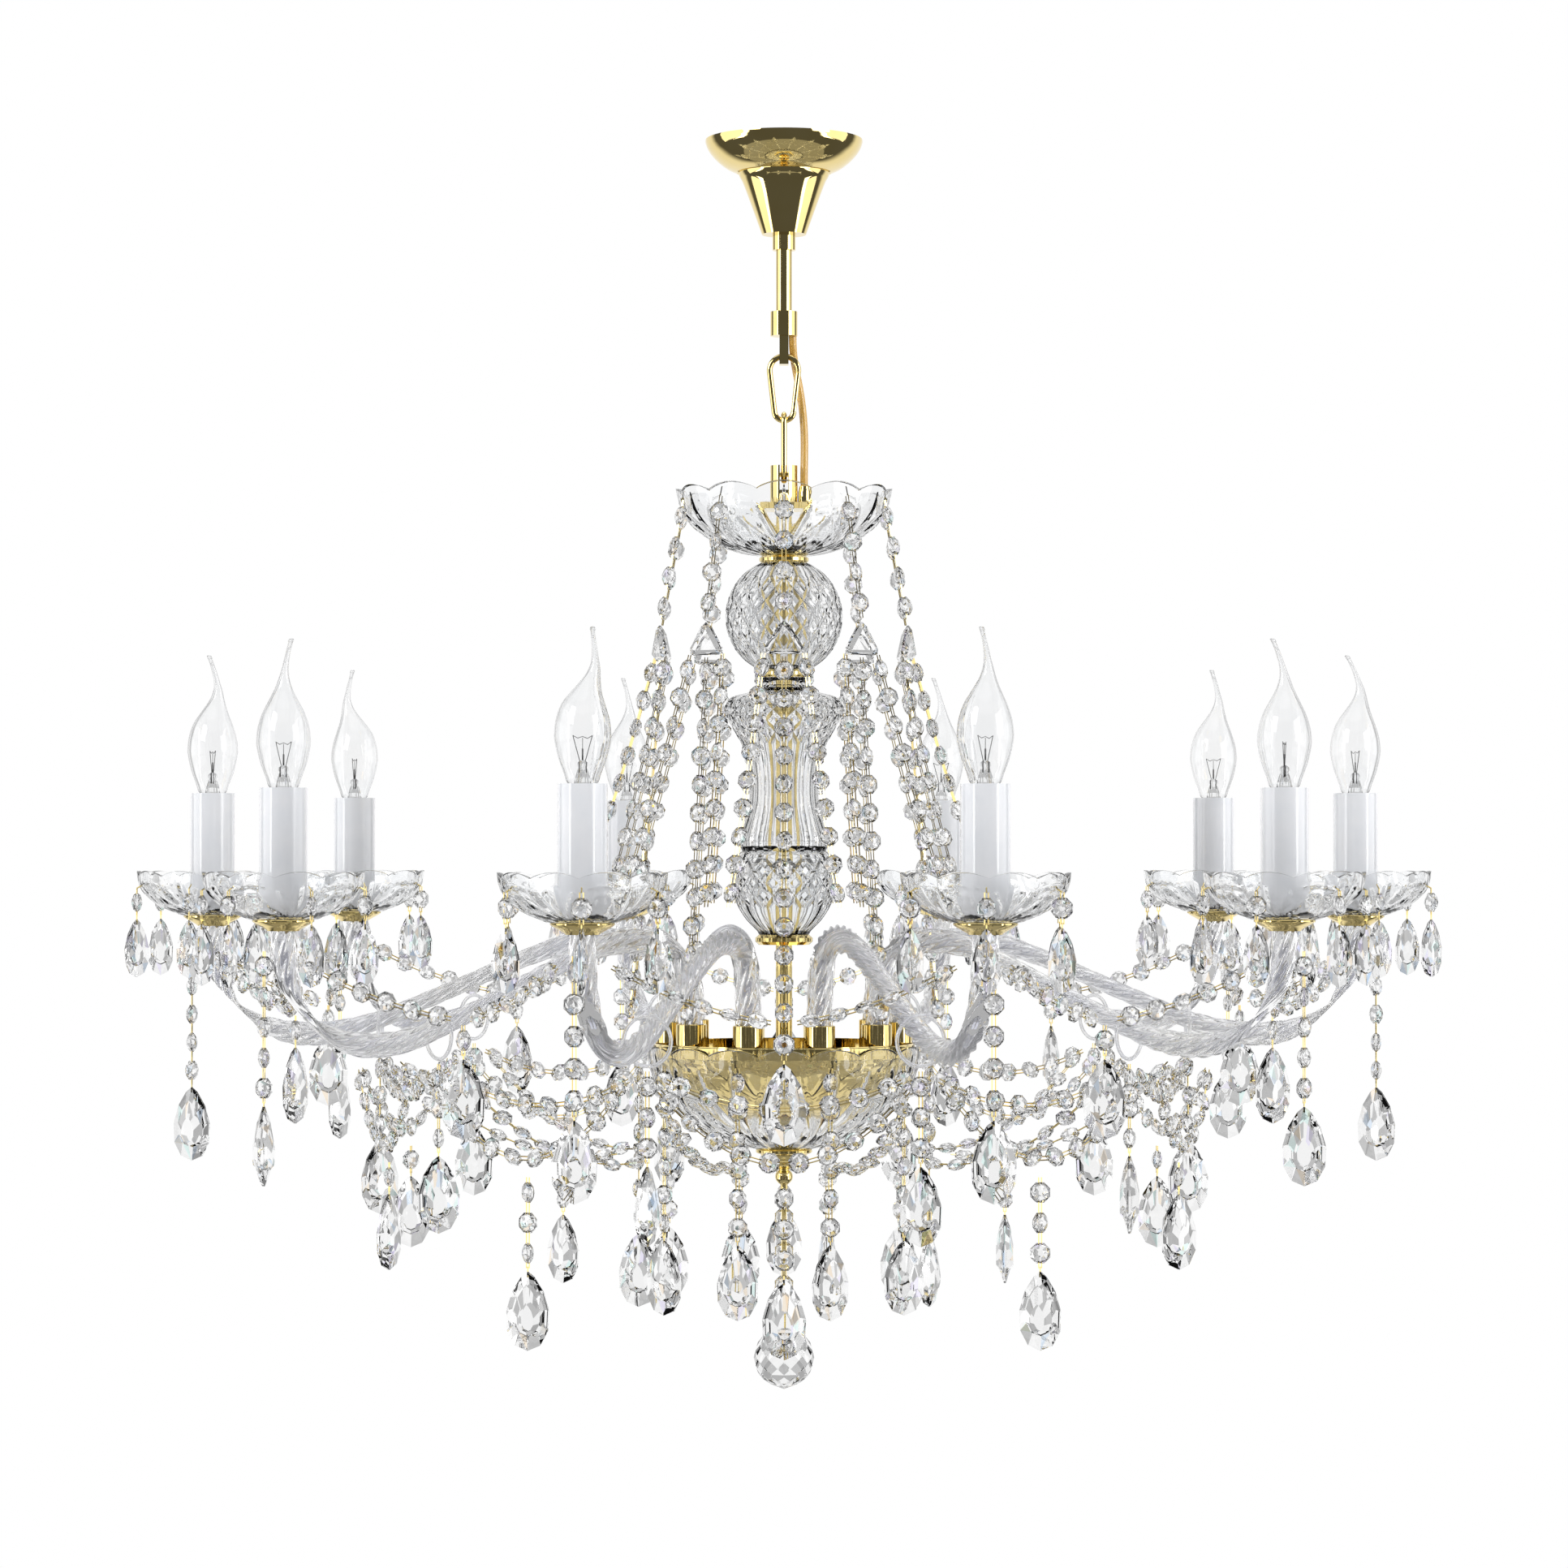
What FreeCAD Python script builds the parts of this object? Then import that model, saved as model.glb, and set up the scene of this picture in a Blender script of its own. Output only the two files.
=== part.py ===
import FreeCAD, Part
import math
import os

import Sketcher

# A ten-arm crystal chandelier, in millimetres. The origin is the middle of the ceiling bracket, +Z is up,
# and everything hangs below z = 0. Angles round the stem are counted from the front, -Y, towards +X.

doc = FreeCAD.newDocument("Chandelier")
V = FreeCAD.Vector
UP = V(0, 0, 1)
TURN = 360.0

# ---------------------------------------------------------------- driving sizes

SIZES = {
    "arm_count": 10,
    "bracket_margin": 10, "bracket_width": 20, "bracket_thickness": 2.5,
    "fixing_spacing": 60, "fixing_hole_radius": 2.6,
    "nut_radius": 9, "nut_height": 5,
    "terminal_length": 18, "terminal_width": 12, "terminal_height": 10, "terminal_offset": 20,
    "canopy_radius": 55, "canopy_depth": 22.6, "canopy_neck": 33, "sheet_wall": 1,
    "cone_depth": 46, "cone_end_radius": 15.4, "cone_nest": 2.6,
    "slip_radius": 8, "slip_height": 11, "slip_screw_radius": 1.5, "slip_screw_length": 6,
    "rod_radius": 5.5, "rod_bore": 3.6, "rod_end_depth": 120,
    "coupling_radius": 9.4, "coupling_height": 17,
    "lug_thickness": 6.3, "lug_width": 12, "lug_length": 20, "hook_play": 1.2, "lug_hole_depth": 14,
    "hook_wire": 2, "hook_height": 45, "hook_wide": 10, "hook_narrow": 6.75,
    "gate_pin_radius": 0.7, "gate_gap": 0.35, "tongue_thickness": 1.4, "tongue_length": 4,
    "link_wire": 2, "link_height": 46, "link_half_width": 6, "link_clearance": 0.3,
    "yoke_radius": 9.5, "yoke_height": 30, "slot_play": 2, "yoke_slot_depth": 17, "pin_below_top": 6,
    "foot_margin": 0.8, "yoke_foot_height": 4, "yoke_pin_radius": 1.8,
    "gland_radius": 4.2, "gland_height": 12, "cable_radius": 2.7,
    "fit": 0.05, "clearance": 0.3,
    "tube_radius": 5.7, "tube_bore": 4.2,
    "dish_radius": 75.6, "dish_depth": 47, "glass_wall": 4, "dish_above_foot": 14,
    "collar_radius": 17.3, "collar_height": 5.3,
    "ball_radius": 41, "ball_cut_radius": 17.5,
    "vase_radius": 41.9, "vase_height": 121,
    "bowl_radius": 37, "bowl_height": 58,
    "low_collar_radius": 20, "low_collar_height": 7,
    "hub_margin": 2, "hub_depth": 53, "hub_drop": 68.6, "hub_plate_drop": 5, "hub_plate_thickness": 2,
    "socket_circle": 78.5, "socket_wall": 1.7, "socket_height": 20,
    "low_dish_margin": 3.56, "low_dish_lean": 0.015, "low_dish_under_hub": 19, "low_dish_wall": 3.4,
    "low_dish_below_hub": 1,
    "finial_radius": 19.6, "finial_height": 34,
    "crystal_ball_radius": 21, "ball_hang": 90, "ball_wire_radius": 0.7,
    "candle_circle": 398, "arm_radius": 8.5, "arm_bore": 3.6, "arm_height": 89.4, "wiring_radius": 2.4,
    "ring_radius": 16, "ring_wire": 1.25, "ring_circle": 281,
    "plate_radius": 22, "plate_thickness": 4, "plate_cup_height": 5, "plate_wall": 2.2,
    "pan_radius": 52.3, "pan_depth": 31, "pan_wall": 3,
    "candle_radius": 15.4, "candle_height": 82, "candle_wall": 1.3, "candle_sink": 1.5,
    "holder_gap": 0.5, "holder_stem_radius": 5.7, "holder_floor": 12, "holder_taper": 2,
    "cap_radius": 6.95, "cap_length": 25,
    "bulb_radius": 17.5, "bulb_length": 98,
    "bead_radius": 7, "bead_half": 3.6, "bead_pitch": 19.5,
    "pear_length": 51, "pear_half_width": 14.3, "pear_half_depth": 6.4,
    "drop_length": 40, "drop_half_width": 10, "drop_half_depth": 4.6,
}

sheet = doc.addObject("Spreadsheet::Sheet", "Sizes")
for row, (alias, number) in enumerate(SIZES.items(), start=1):
    sheet.set(f"A{row}", alias)
    sheet.set(f"B{row}", str(number))
    sheet.setAlias(f"B{row}", alias)
doc.recompute()


def size(alias):
    return float(getattr(sheet, alias))


# ---------------------------------------------------------------- heights and radii that follow from them

levels = doc.addObject("App::FeaturePython", "Levels")


def level(name, expression):
    """Name a height or a radius, worked out from the sheet and the ones above it."""
    levels.addProperty("App::PropertyFloat", name)
    levels.setExpression(name, expression)
    doc.recompute()


level("bracket_length", "2 * (Sizes.canopy_radius - Sizes.bracket_margin)")
level("cone_top", "-(Sizes.canopy_depth - Sizes.cone_nest)")
level("slip_top", "cone_top - Sizes.cone_depth")
level("coupling_top", "-Sizes.rod_end_depth")
level("lug_top", "coupling_top - Sizes.coupling_height")
level("swing_axis", "lug_top - Sizes.lug_hole_depth")
level("hook_low", "swing_axis - Sizes.hook_height")
level("link_high", "hook_low + Sizes.hook_wire + Sizes.link_wire + Sizes.link_clearance")
level("link_low", "link_high - Sizes.link_height")
level("yoke_pin_axis", "link_low + Sizes.link_wire + Sizes.yoke_pin_radius + Sizes.link_clearance")
level("yoke_top", "yoke_pin_axis + Sizes.pin_below_top")
level("yoke_low", "yoke_top - Sizes.yoke_height")
level("gland_top", "yoke_low + Sizes.yoke_foot_height + Sizes.gland_height")
level("dish_low", "yoke_low - Sizes.dish_depth + Sizes.dish_above_foot")
level("ball_top", "dish_low - Sizes.collar_height")
level("ball_half", "sqrt(Sizes.ball_radius ^ 2 - Sizes.ball_cut_radius ^ 2)")
level("ball_low", "ball_top - 2 * ball_half")
level("vase_top", "ball_low - Sizes.collar_height")
level("bowl_top", "vase_top - Sizes.vase_height")
level("low_collar_top", "bowl_top - Sizes.bowl_height")
level("hub_top", "low_collar_top - Sizes.low_collar_height - Sizes.hub_drop")
level("hub_plate_top", "hub_top - Sizes.hub_plate_drop")
level("hub_low", "hub_top - Sizes.hub_depth")
level("low_dish_top", "hub_top - Sizes.low_dish_below_hub")
level("low_dish_depth", "Sizes.hub_depth + Sizes.low_dish_under_hub")
level("low_dish_low", "low_dish_top - low_dish_depth")
level("finial_low", "low_dish_low - Sizes.finial_height")
level("ball_wire_low", "finial_low - Sizes.ball_hang")
level("arm_seat", "hub_plate_top + Sizes.clearance")
level("arm_end", "arm_seat + Sizes.arm_height")
level("plate_top", "arm_end + Sizes.clearance + Sizes.plate_thickness")
level("pan_top", "plate_top + Sizes.pan_depth")
level("candle_low", "plate_top + Sizes.pan_wall")
level("candle_top", "candle_low + Sizes.candle_height")
level("holder_top", "candle_top - Sizes.candle_sink")
level("socket_radius", "Sizes.arm_radius + Sizes.clearance + Sizes.socket_wall")
level("hub_radius", "Sizes.socket_circle + socket_radius + Sizes.hub_margin")
level("low_dish_radius", "(hub_radius + Sizes.low_dish_margin) / (1 - Sizes.low_dish_lean)")
level("gland_offset", "Sizes.yoke_radius + Sizes.clearance + Sizes.gland_radius")
level("yoke_foot_radius", "gland_offset + Sizes.gland_radius + Sizes.foot_margin")
level("holder_radius", "Sizes.candle_radius - Sizes.candle_wall - Sizes.holder_gap")


def at(name):
    return float(getattr(levels, name))


# ---------------------------------------------------------------- ways of making a piece

made = {}


def keep(feature, label):
    """Give a finished sub-part its label, which is also its file's name."""
    feature.Label = label
    made[label] = feature
    return feature


def turned(label, outline, height=None, spin=TURN):
    """A body turned round the stem: outline is a closed list of (radius, height) expressions."""
    body = doc.addObject("PartDesign::Body", label + "_body")
    sketch = body.newObject("Sketcher::SketchObject", label + "_profile")
    plane = [f for f in body.Origin.OriginFeatures if f.Role == "XZ_Plane"][0]
    sketch.AttachmentSupport = [(plane, "")]
    sketch.MapMode = "FlatFace"
    corners = []
    for radius, rise in outline:
        corners.append((probe(radius), probe(rise)))
    for index, (x, z) in enumerate(corners):
        ahead = corners[(index + 1) % len(corners)]
        sketch.addGeometry(Part.LineSegment(V(x, z, 0), V(ahead[0], ahead[1], 0)), False)
    for index in range(len(corners)):
        after = (index + 1) % len(corners)
        sketch.addConstraint(Sketcher.Constraint("Coincident", index, 2, after, 1))
    for index, (radius, rise) in enumerate(outline):
        x, z = corners[index]
        number = sketch.addConstraint(Sketcher.Constraint("DistanceX", -1, 1, index, 1, x))
        sketch.setExpression(f"Constraints[{number}]", radius)
        number = sketch.addConstraint(Sketcher.Constraint("DistanceY", -1, 1, index, 1, z))
        sketch.setExpression(f"Constraints[{number}]", rise)
    spun = body.newObject("PartDesign::Revolution", label + "_turn")
    spun.Profile = sketch
    spun.ReferenceAxis = (sketch, ["V_Axis"])
    spun.Angle = spin
    if height is not None:
        body.setExpression("Placement.Base.z", height)
    return body


scale = doc.addObject("App::FeaturePython", "Probe")
scale.addProperty("App::PropertyFloat", "value")


def probe(expression):
    """The number that an expression on the sheet comes to."""
    scale.setExpression("value", expression)
    scale.recompute()
    return float(scale.value)


def primitive(kind, name, height=None, **sizes):
    """A Part primitive whose sizes are bound to expressions."""
    solid = doc.addObject("Part::" + kind, name)
    for field, expression in sizes.items():
        solid.setExpression(field.replace("_", "."), expression)
    if height is not None:
        solid.setExpression("Placement.Base.z", height)
    return solid


def boolean(kind, name, base, tool):
    result = doc.addObject("Part::" + kind, name)
    result.Base = base
    result.Tool = tool
    return result


def shape_part(label, shape):
    """A sub-part whose shape is made with Part's own functions from the sheet's sizes."""
    feature = doc.addObject("Part::Feature", label)
    feature.Shape = shape
    return keep(feature, label)


def around(shape, angle):
    """A copy of a shape turned round the stem, from the front towards +X."""
    copy = shape.copy()
    copy.rotate(V(0, 0, 0), UP, angle)
    return copy


def spot(angle, radius, height):
    """The point at an angle from the front, a distance from the stem and a height."""
    turn = math.radians(angle)
    return V(radius * math.sin(turn), -radius * math.cos(turn), height)


def rounded_path(corners):
    """Straight runs joined by tangent arcs, each as large as its two runs allow."""
    share = 0.45
    edges = []
    radii = []
    last = corners[0]
    for before, corner, after in zip(corners, corners[1:], corners[2:]):
        back = (before - corner).normalize()
        ahead = (after - corner).normalize()
        half = (math.pi - back.getAngle(ahead)) / 2
        trim = share * min((before - corner).Length, (after - corner).Length)
        radius = trim / math.tan(half)
        radii.append(radius)
        middle = corner + (back + ahead).normalize() * (radius / math.cos(half) - radius)
        start = corner + back * trim
        end = corner + ahead * trim
        edges.append(Part.LineSegment(last, start).toShape())
        edges.append(Part.Arc(start, middle, end).toShape())
        last = end
    edges.append(Part.LineSegment(last, corners[-1]).toShape())
    return Part.Wire(edges), radii


def pipe(path, radius):
    """A round bar of one radius along a path."""
    start = path.OrderedEdges[0]
    direction = start.tangentAt(start.FirstParameter)
    circle = Part.Wire([Part.makeCircle(radius, start.valueAt(start.FirstParameter), direction)])
    return path.makePipeShell([circle], True, True)


def arm_angles():
    count = int(size("arm_count"))
    pitch = TURN / count
    return [pitch * (number + 0.5) for number in range(count)]


def bay_angles():
    """The angles half way between two arms, from the front bay round."""
    count = int(size("arm_count"))
    return [TURN / count * number for number in range(count)]


# ---------------------------------------------------------------- ceiling fixing and down rod


def ceiling_bracket():
    bar = primitive("Box", "bracket_bar", Length="Levels.bracket_length", Width="Sizes.bracket_width",
                    Height="Sizes.bracket_thickness", Placement_Base_x="-Levels.bracket_length / 2",
                    Placement_Base_y="-Sizes.bracket_width / 2", Placement_Base_z="-Sizes.bracket_thickness")
    tool = primitive("Cylinder", "bracket_rod_hole", "-Sizes.bracket_thickness - 1",
                     Radius="Sizes.rod_radius + Sizes.fit", Height="Sizes.bracket_thickness + 2")
    result = boolean("Cut", "bracket_cut_rod", bar, tool)
    for side, sign in (("left", "-"), ("right", "")):
        hole = primitive("Cylinder", "bracket_hole_" + side, "-Sizes.bracket_thickness - 1",
                         Radius="Sizes.fixing_hole_radius", Height="Sizes.bracket_thickness + 2",
                         Placement_Base_x=sign + "Sizes.fixing_spacing / 2")
        result = boolean("Cut", "bracket_cut_" + side, result, hole)
    keep(result, "ceiling_bracket")


def rod_nut():
    nut = primitive("Prism", "nut_blank", "-Sizes.bracket_thickness - Sizes.nut_height",
                    Circumradius="Sizes.nut_radius", Height="Sizes.nut_height")
    nut.Polygon = 6
    bore = primitive("Cylinder", "nut_bore", "-Sizes.bracket_thickness - Sizes.nut_height - 1",
                     Radius="Sizes.rod_radius + Sizes.fit", Height="Sizes.nut_height + 2")
    keep(boolean("Cut", "nut_cut", nut, bore), "rod_nut")


def terminal_block():
    block = primitive("Box", "terminal_blank", Length="Sizes.terminal_length", Width="Sizes.terminal_width",
                      Height="Sizes.terminal_height", Placement_Base_x="Sizes.terminal_offset",
                      Placement_Base_y="-Sizes.terminal_width / 2",
                      Placement_Base_z="-Sizes.bracket_thickness - Sizes.terminal_height")
    keep(block, "terminal_block")


def down_rod():
    rod = turned("down_rod", [
        ("Sizes.rod_bore", "0"),
        ("Sizes.rod_radius", "0"),
        ("Sizes.rod_radius", "-Sizes.rod_end_depth"),
        ("Sizes.rod_bore", "-Sizes.rod_end_depth"),
    ])
    keep(rod, "down_rod")


def rod_coupling():
    """The turned coupling under the rod, with its flat lug drilled across for the snap hook."""
    barrel = primitive("Cylinder", "coupling_barrel", "Levels.lug_top", Radius="Sizes.coupling_radius",
                       Height="Sizes.coupling_height")
    lug = primitive("Box", "coupling_lug", Length="Sizes.lug_thickness", Width="Sizes.lug_width",
                    Height="Sizes.lug_length + 2", Placement_Base_x="-Sizes.lug_thickness / 2",
                    Placement_Base_y="-Sizes.lug_width / 2",
                    Placement_Base_z="Levels.lug_top - Sizes.lug_length")
    whole = boolean("Fuse", "coupling_whole", barrel, lug)
    hole = primitive("Cylinder", "coupling_hole", "Levels.swing_axis", Radius="Sizes.hook_wire + Sizes.hook_play",
                     Height="Sizes.lug_thickness + 2", Placement_Base_x="-Sizes.lug_thickness / 2 - 1")
    hole.Placement = FreeCAD.Placement(hole.Placement.Base, FreeCAD.Rotation(V(0, 1, 0), 90))
    keep(boolean("Cut", "coupling_drilled", whole, hole), "rod_coupling")


# ---------------------------------------------------------------- canopy that slides on the rod


def canopy():
    """The pressed cup, whose curve runs from its rim in to its neck, and the cone that nests in the neck."""
    cup = [(1.0, 0.0), (0.9625, -0.16), (0.825, -0.42), (0.55, -0.72), (0.25, -0.92), (0.0, -1.0)]
    flare = "(Sizes.canopy_radius - Sizes.canopy_neck)"
    outer = [(f"Sizes.canopy_neck + {flare} * {share}", f"Sizes.canopy_depth * {drop}") for share, drop in cup]
    inner = [(f"Sizes.canopy_neck + {flare} * {share} - Sizes.sheet_wall",
              f"Sizes.canopy_depth * {drop} + Sizes.sheet_wall * {-drop}") for share, drop in reversed(cup)]
    keep(turned("canopy_cup", outer + inner), "canopy_cup")
    cone = [(0.93, 0.0), (1.0, -0.045), (1.0, -0.09), (0.88, -0.25)]
    reach = "(Sizes.canopy_neck - Sizes.clearance - Sizes.sheet_wall)"
    outer = [(f"{reach} * {share}", f"Sizes.cone_depth * {drop}") for share, drop in cone]
    end = ("Sizes.cone_end_radius", "-Sizes.cone_depth")
    floor_out = ("Sizes.rod_radius + Sizes.clearance", "-Sizes.cone_depth")
    floor_in = ("Sizes.rod_radius + Sizes.clearance", "-Sizes.cone_depth + Sizes.sheet_wall")
    end_in = ("Sizes.cone_end_radius - Sizes.sheet_wall", "-Sizes.cone_depth + Sizes.sheet_wall")
    inner = [(f"{reach} * {share} - Sizes.sheet_wall", f"Sizes.cone_depth * {drop}")
             for share, drop in reversed(cone)]
    keep(turned("canopy_cone", outer + [end, floor_out, floor_in, end_in] + inner, "Levels.cone_top"),
         "canopy_cone")


def canopy_collar():
    """The slip collar that holds the canopy up, and its set screw."""
    ring = primitive("Cylinder", "slip_blank", "Levels.slip_top - Sizes.slip_height", Radius="Sizes.slip_radius",
                     Height="Sizes.slip_height")
    bore = primitive("Cylinder", "slip_bore", "Levels.slip_top - Sizes.slip_height - 1",
                     Radius="Sizes.rod_radius + Sizes.fit", Height="Sizes.slip_height + 2")
    ring = boolean("Cut", "slip_bored", ring, bore)
    quarter = FreeCAD.Rotation(V(1, 0, 0), 90)
    middle = "Levels.slip_top - Sizes.slip_height / 2"
    tapped = primitive("Cylinder", "slip_tapped", middle, Radius="Sizes.slip_screw_radius",
                       Height="Sizes.slip_radius + 2")
    tapped.Placement = FreeCAD.Placement(tapped.Placement.Base, quarter)
    keep(boolean("Cut", "slip_ring", ring, tapped), "canopy_collar")
    screw = primitive("Cylinder", "slip_screw", middle, Radius="Sizes.slip_screw_radius",
                      Height="Sizes.slip_screw_length",
                      Placement_Base_y="-(Sizes.rod_radius + Sizes.fit)")
    screw.Placement = FreeCAD.Placement(screw.Placement.Base, quarter)
    keep(screw, "collar_screw")


# ---------------------------------------------------------------- snap hook, link and yoke


def hook_frame():
    """The two arcs of the pear-shaped hook, and the tangent points of its right side."""
    wide = size("hook_wide")
    narrow = size("hook_narrow")
    high = at("swing_axis") - wide
    low = at("hook_low") + narrow
    lean = math.asin((wide - narrow) / (high - low))
    outward = V(math.cos(lean), 0, -math.sin(lean))
    upper = V(0, 0, high) + outward * wide
    lower = V(0, 0, low) + outward * narrow
    return wide, narrow, high, low, outward, upper, lower


def snap_hook():
    wide, narrow, high, low, outward, upper, lower = hook_frame()
    upper_left = V(-upper.x, 0, upper.z)
    lower_left = V(-lower.x, 0, lower.z)
    along = (upper - lower).normalize()
    wire = Part.Wire([
        Part.Arc(upper, V(0, 0, high + wide), upper_left).toShape(),
        Part.LineSegment(upper_left, lower_left).toShape(),
        Part.Arc(lower_left, V(0, 0, low - narrow), lower).toShape(),
    ])
    body = pipe(wire, size("hook_wire"))
    pivot = lower + along * (size("tongue_length") / 2)
    thick = size("tongue_thickness")
    radius = size("hook_wire") * 0.8
    tongue = Part.makeBox(2 * radius, thick, size("tongue_length") + 1.5, V(-radius, -thick / 2, -1))
    tongue.Placement = FreeCAD.Placement(lower, FreeCAD.Rotation(UP, along))
    pin_line = FreeCAD.Placement(pivot - V(0, size("hook_wire") - 0.2, 0), FreeCAD.Rotation(UP, V(0, 1, 0)))
    pin = Part.makeCylinder(size("gate_pin_radius"), 2 * size("hook_wire") - 0.4)
    pin.Placement = pin_line
    body = body.fuse(tongue).cut(pin)
    shape_part("snap_hook", body.removeSplitter())
    shape_part("gate_pin", pin)
    length = (upper - lower).Length - 2 * size("gate_gap")
    gate = Part.makeCylinder(size("hook_wire"), length)
    gate.Placement = FreeCAD.Placement(lower + along * size("gate_gap"), FreeCAD.Rotation(UP, along))
    slot = Part.makeBox(4 * size("hook_wire"), thick + 2 * size("gate_gap"), size("tongue_length") + 5.5,
                        V(-2 * size("hook_wire"), -thick / 2 - size("gate_gap"), -1))
    slot.Placement = FreeCAD.Placement(lower, FreeCAD.Rotation(UP, along))
    bore = Part.makeCylinder(size("gate_pin_radius") + size("fit"), 4 * size("hook_wire"))
    bore.Placement = FreeCAD.Placement(pivot - V(0, 2 * size("hook_wire"), 0), FreeCAD.Rotation(UP, V(0, 1, 0)))
    heel = Part.makeCylinder(size("hook_wire"), 4 * size("hook_wire"))
    heel.Placement = FreeCAD.Placement(pivot - V(0, 2 * size("hook_wire"), 0), FreeCAD.Rotation(UP, V(0, 1, 0)))
    block = Part.makeBox(4 * size("hook_wire"), 4 * size("hook_wire"), size("tongue_length"),
                         V(-2 * size("hook_wire"), -2 * size("hook_wire"), -size("tongue_length")))
    block.Placement = FreeCAD.Placement(pivot, FreeCAD.Rotation(UP, along))
    rounded_end = gate.cut(block).fuse(gate.common(heel))
    shape_part("hook_gate", rounded_end.cut(slot).cut(bore).removeSplitter())


def chain_link():
    """One long oval link, edge on to the front."""
    half = size("link_half_width")
    high = at("link_high") - half
    low = at("link_low") + half
    wire = Part.Wire([
        Part.Arc(V(0, half, high), V(0, 0, high + half), V(0, -half, high)).toShape(),
        Part.LineSegment(V(0, -half, high), V(0, -half, low)).toShape(),
        Part.Arc(V(0, -half, low), V(0, 0, low - half), V(0, half, low)).toShape(),
        Part.LineSegment(V(0, half, low), V(0, half, high)).toShape(),
    ])
    shape_part("chain_link", pipe(wire, size("link_wire")))


def hanger_yoke():
    """The slotted nut at the top of the stem tube, its foot in the glass dish, and its cross pin."""
    body = turned("yoke_blank", [
        ("0", "0"),
        ("Sizes.yoke_radius", "0"),
        ("Sizes.yoke_radius", "-Sizes.yoke_height + Sizes.yoke_foot_height"),
        ("Levels.yoke_foot_radius", "-Sizes.yoke_height + Sizes.yoke_foot_height"),
        ("Levels.yoke_foot_radius", "-Sizes.yoke_height"),
        ("0", "-Sizes.yoke_height"),
    ], "Levels.yoke_top")
    slot = primitive("Box", "yoke_slot_box", Length="2 * Sizes.link_wire + Sizes.slot_play",
                     Width="4 * Sizes.yoke_radius", Height="Sizes.yoke_slot_depth + 2",
                     Placement_Base_x="-Sizes.link_wire - Sizes.slot_play / 2",
                     Placement_Base_y="-2 * Sizes.yoke_radius",
                     Placement_Base_z="Levels.yoke_top - Sizes.yoke_slot_depth")
    slotted = boolean("Cut", "yoke_slotted", body, slot)
    across = FreeCAD.Rotation(V(0, 1, 0), 90)
    hole = primitive("Cylinder", "yoke_pin_hole", "Levels.yoke_pin_axis", Radius="Sizes.yoke_pin_radius",
                     Height="3 * Sizes.yoke_radius", Placement_Base_x="-1.5 * Sizes.yoke_radius")
    hole.Placement = FreeCAD.Placement(hole.Placement.Base, across)
    keep(boolean("Cut", "yoke_drilled", slotted, hole), "hanger_yoke")
    pin = primitive("Cylinder", "yoke_pin_bar", "Levels.yoke_pin_axis", Radius="Sizes.yoke_pin_radius",
                    Height="2 * Sizes.yoke_radius - 1", Placement_Base_x="-Sizes.yoke_radius + 0.5")
    pin.Placement = FreeCAD.Placement(pin.Placement.Base, across)
    keep(pin, "yoke_pin")


# ---------------------------------------------------------------- supply cable


def supply_cable():
    """The lead from the coupling's underside, behind the snap hook, to the gland on the yoke's foot."""
    start = at("lug_top")
    end = at("gland_top")
    drop = start - end
    route = [(6.1, 2.4, 0), (6.1, 2.4, 0.06), (6.9, 4.6, 0.145), (8.6, 6.6, 0.235), (10.8, 7.6, 0.34),
             (12.6, 7.4, 0.45), (13.8, 6.0, 0.57), (14.3, 3.8, 0.69), (14.2, 1.4, 0.81), (14, 0, 0.91)]
    corners = [V(x, y, start - share * drop) for x, y, share in route]
    corners.append(V(at("gland_offset"), 0, end))
    path, radii = rounded_path(corners)
    print("cable length", round(path.Length, 2), "arc radii", [round(radius, 1) for radius in radii])
    edges = path.OrderedEdges
    half = len(route) // 2 * 2
    upper = Part.Wire(edges[:half + 1])
    lower = Part.Wire(edges[half + 1:])
    print("upper", round(upper.Length, 2), "lower", round(lower.Length, 2))
    shape_part("supply_cable_upper", pipe(upper, size("cable_radius")))
    shape_part("supply_cable_lower", pipe(lower, size("cable_radius")))


def cable_gland():
    gland = turned("cable_gland", [
        ("0", "0"),
        ("Sizes.gland_radius * 0.8", "0"),
        ("Sizes.gland_radius", "-Sizes.gland_height * 0.35"),
        ("Sizes.gland_radius", "-Sizes.gland_height"),
        ("0", "-Sizes.gland_height"),
    ], "Levels.gland_top")
    gland.setExpression("Placement.Base.x", "Levels.gland_offset")
    keep(gland, "cable_gland")


# ---------------------------------------------------------------- stem


def shell_outline(curve, radius, depth, wall, hole):
    """A turned bowl: the curve's (share of radius, share of depth) points run from the rim to the foot."""
    outer = [(f"{radius} * {share}", f"{depth} * {rise}") for share, rise in curve]
    inner = []
    for share, rise in reversed(curve):
        inner.append((f"{radius} * {share} - {wall} * {0.3 + 0.7 * share:.3f}",
                      f"{depth} * {rise} + {wall} * {1 - rise:.3f}"))
    rim = (inner.pop()[0], outer[0][1])
    foot = outer[-1]
    floor = inner.pop(0)
    return outer + [(hole, foot[1]), (hole, floor[1]), floor] + inner + [rim]


DISH_CURVE = [(1.0, 1.0), (0.97, 0.78), (0.88, 0.52), (0.68, 0.25), (0.46, 0.07), (0.24, 0.0)]
PAN_CURVE = [(1.0, 1.0), (0.98, 0.78), (0.88, 0.50), (0.70, 0.26), (0.52, 0.10), (0.40, 0.0)]
HUB_CURVE = [(1.0, 1.0), (1.0, 0.84), (0.93, 0.66), (0.74, 0.36), (0.46, 0.10), (0.20, 0.0)]


def top_dish():
    hole = "Sizes.tube_radius + Sizes.clearance"
    outline = shell_outline(DISH_CURVE, "Sizes.dish_radius", "Sizes.dish_depth", "Sizes.glass_wall", hole)
    keep(turned("top_dish", outline, "Levels.dish_low"), "top_dish")


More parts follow.
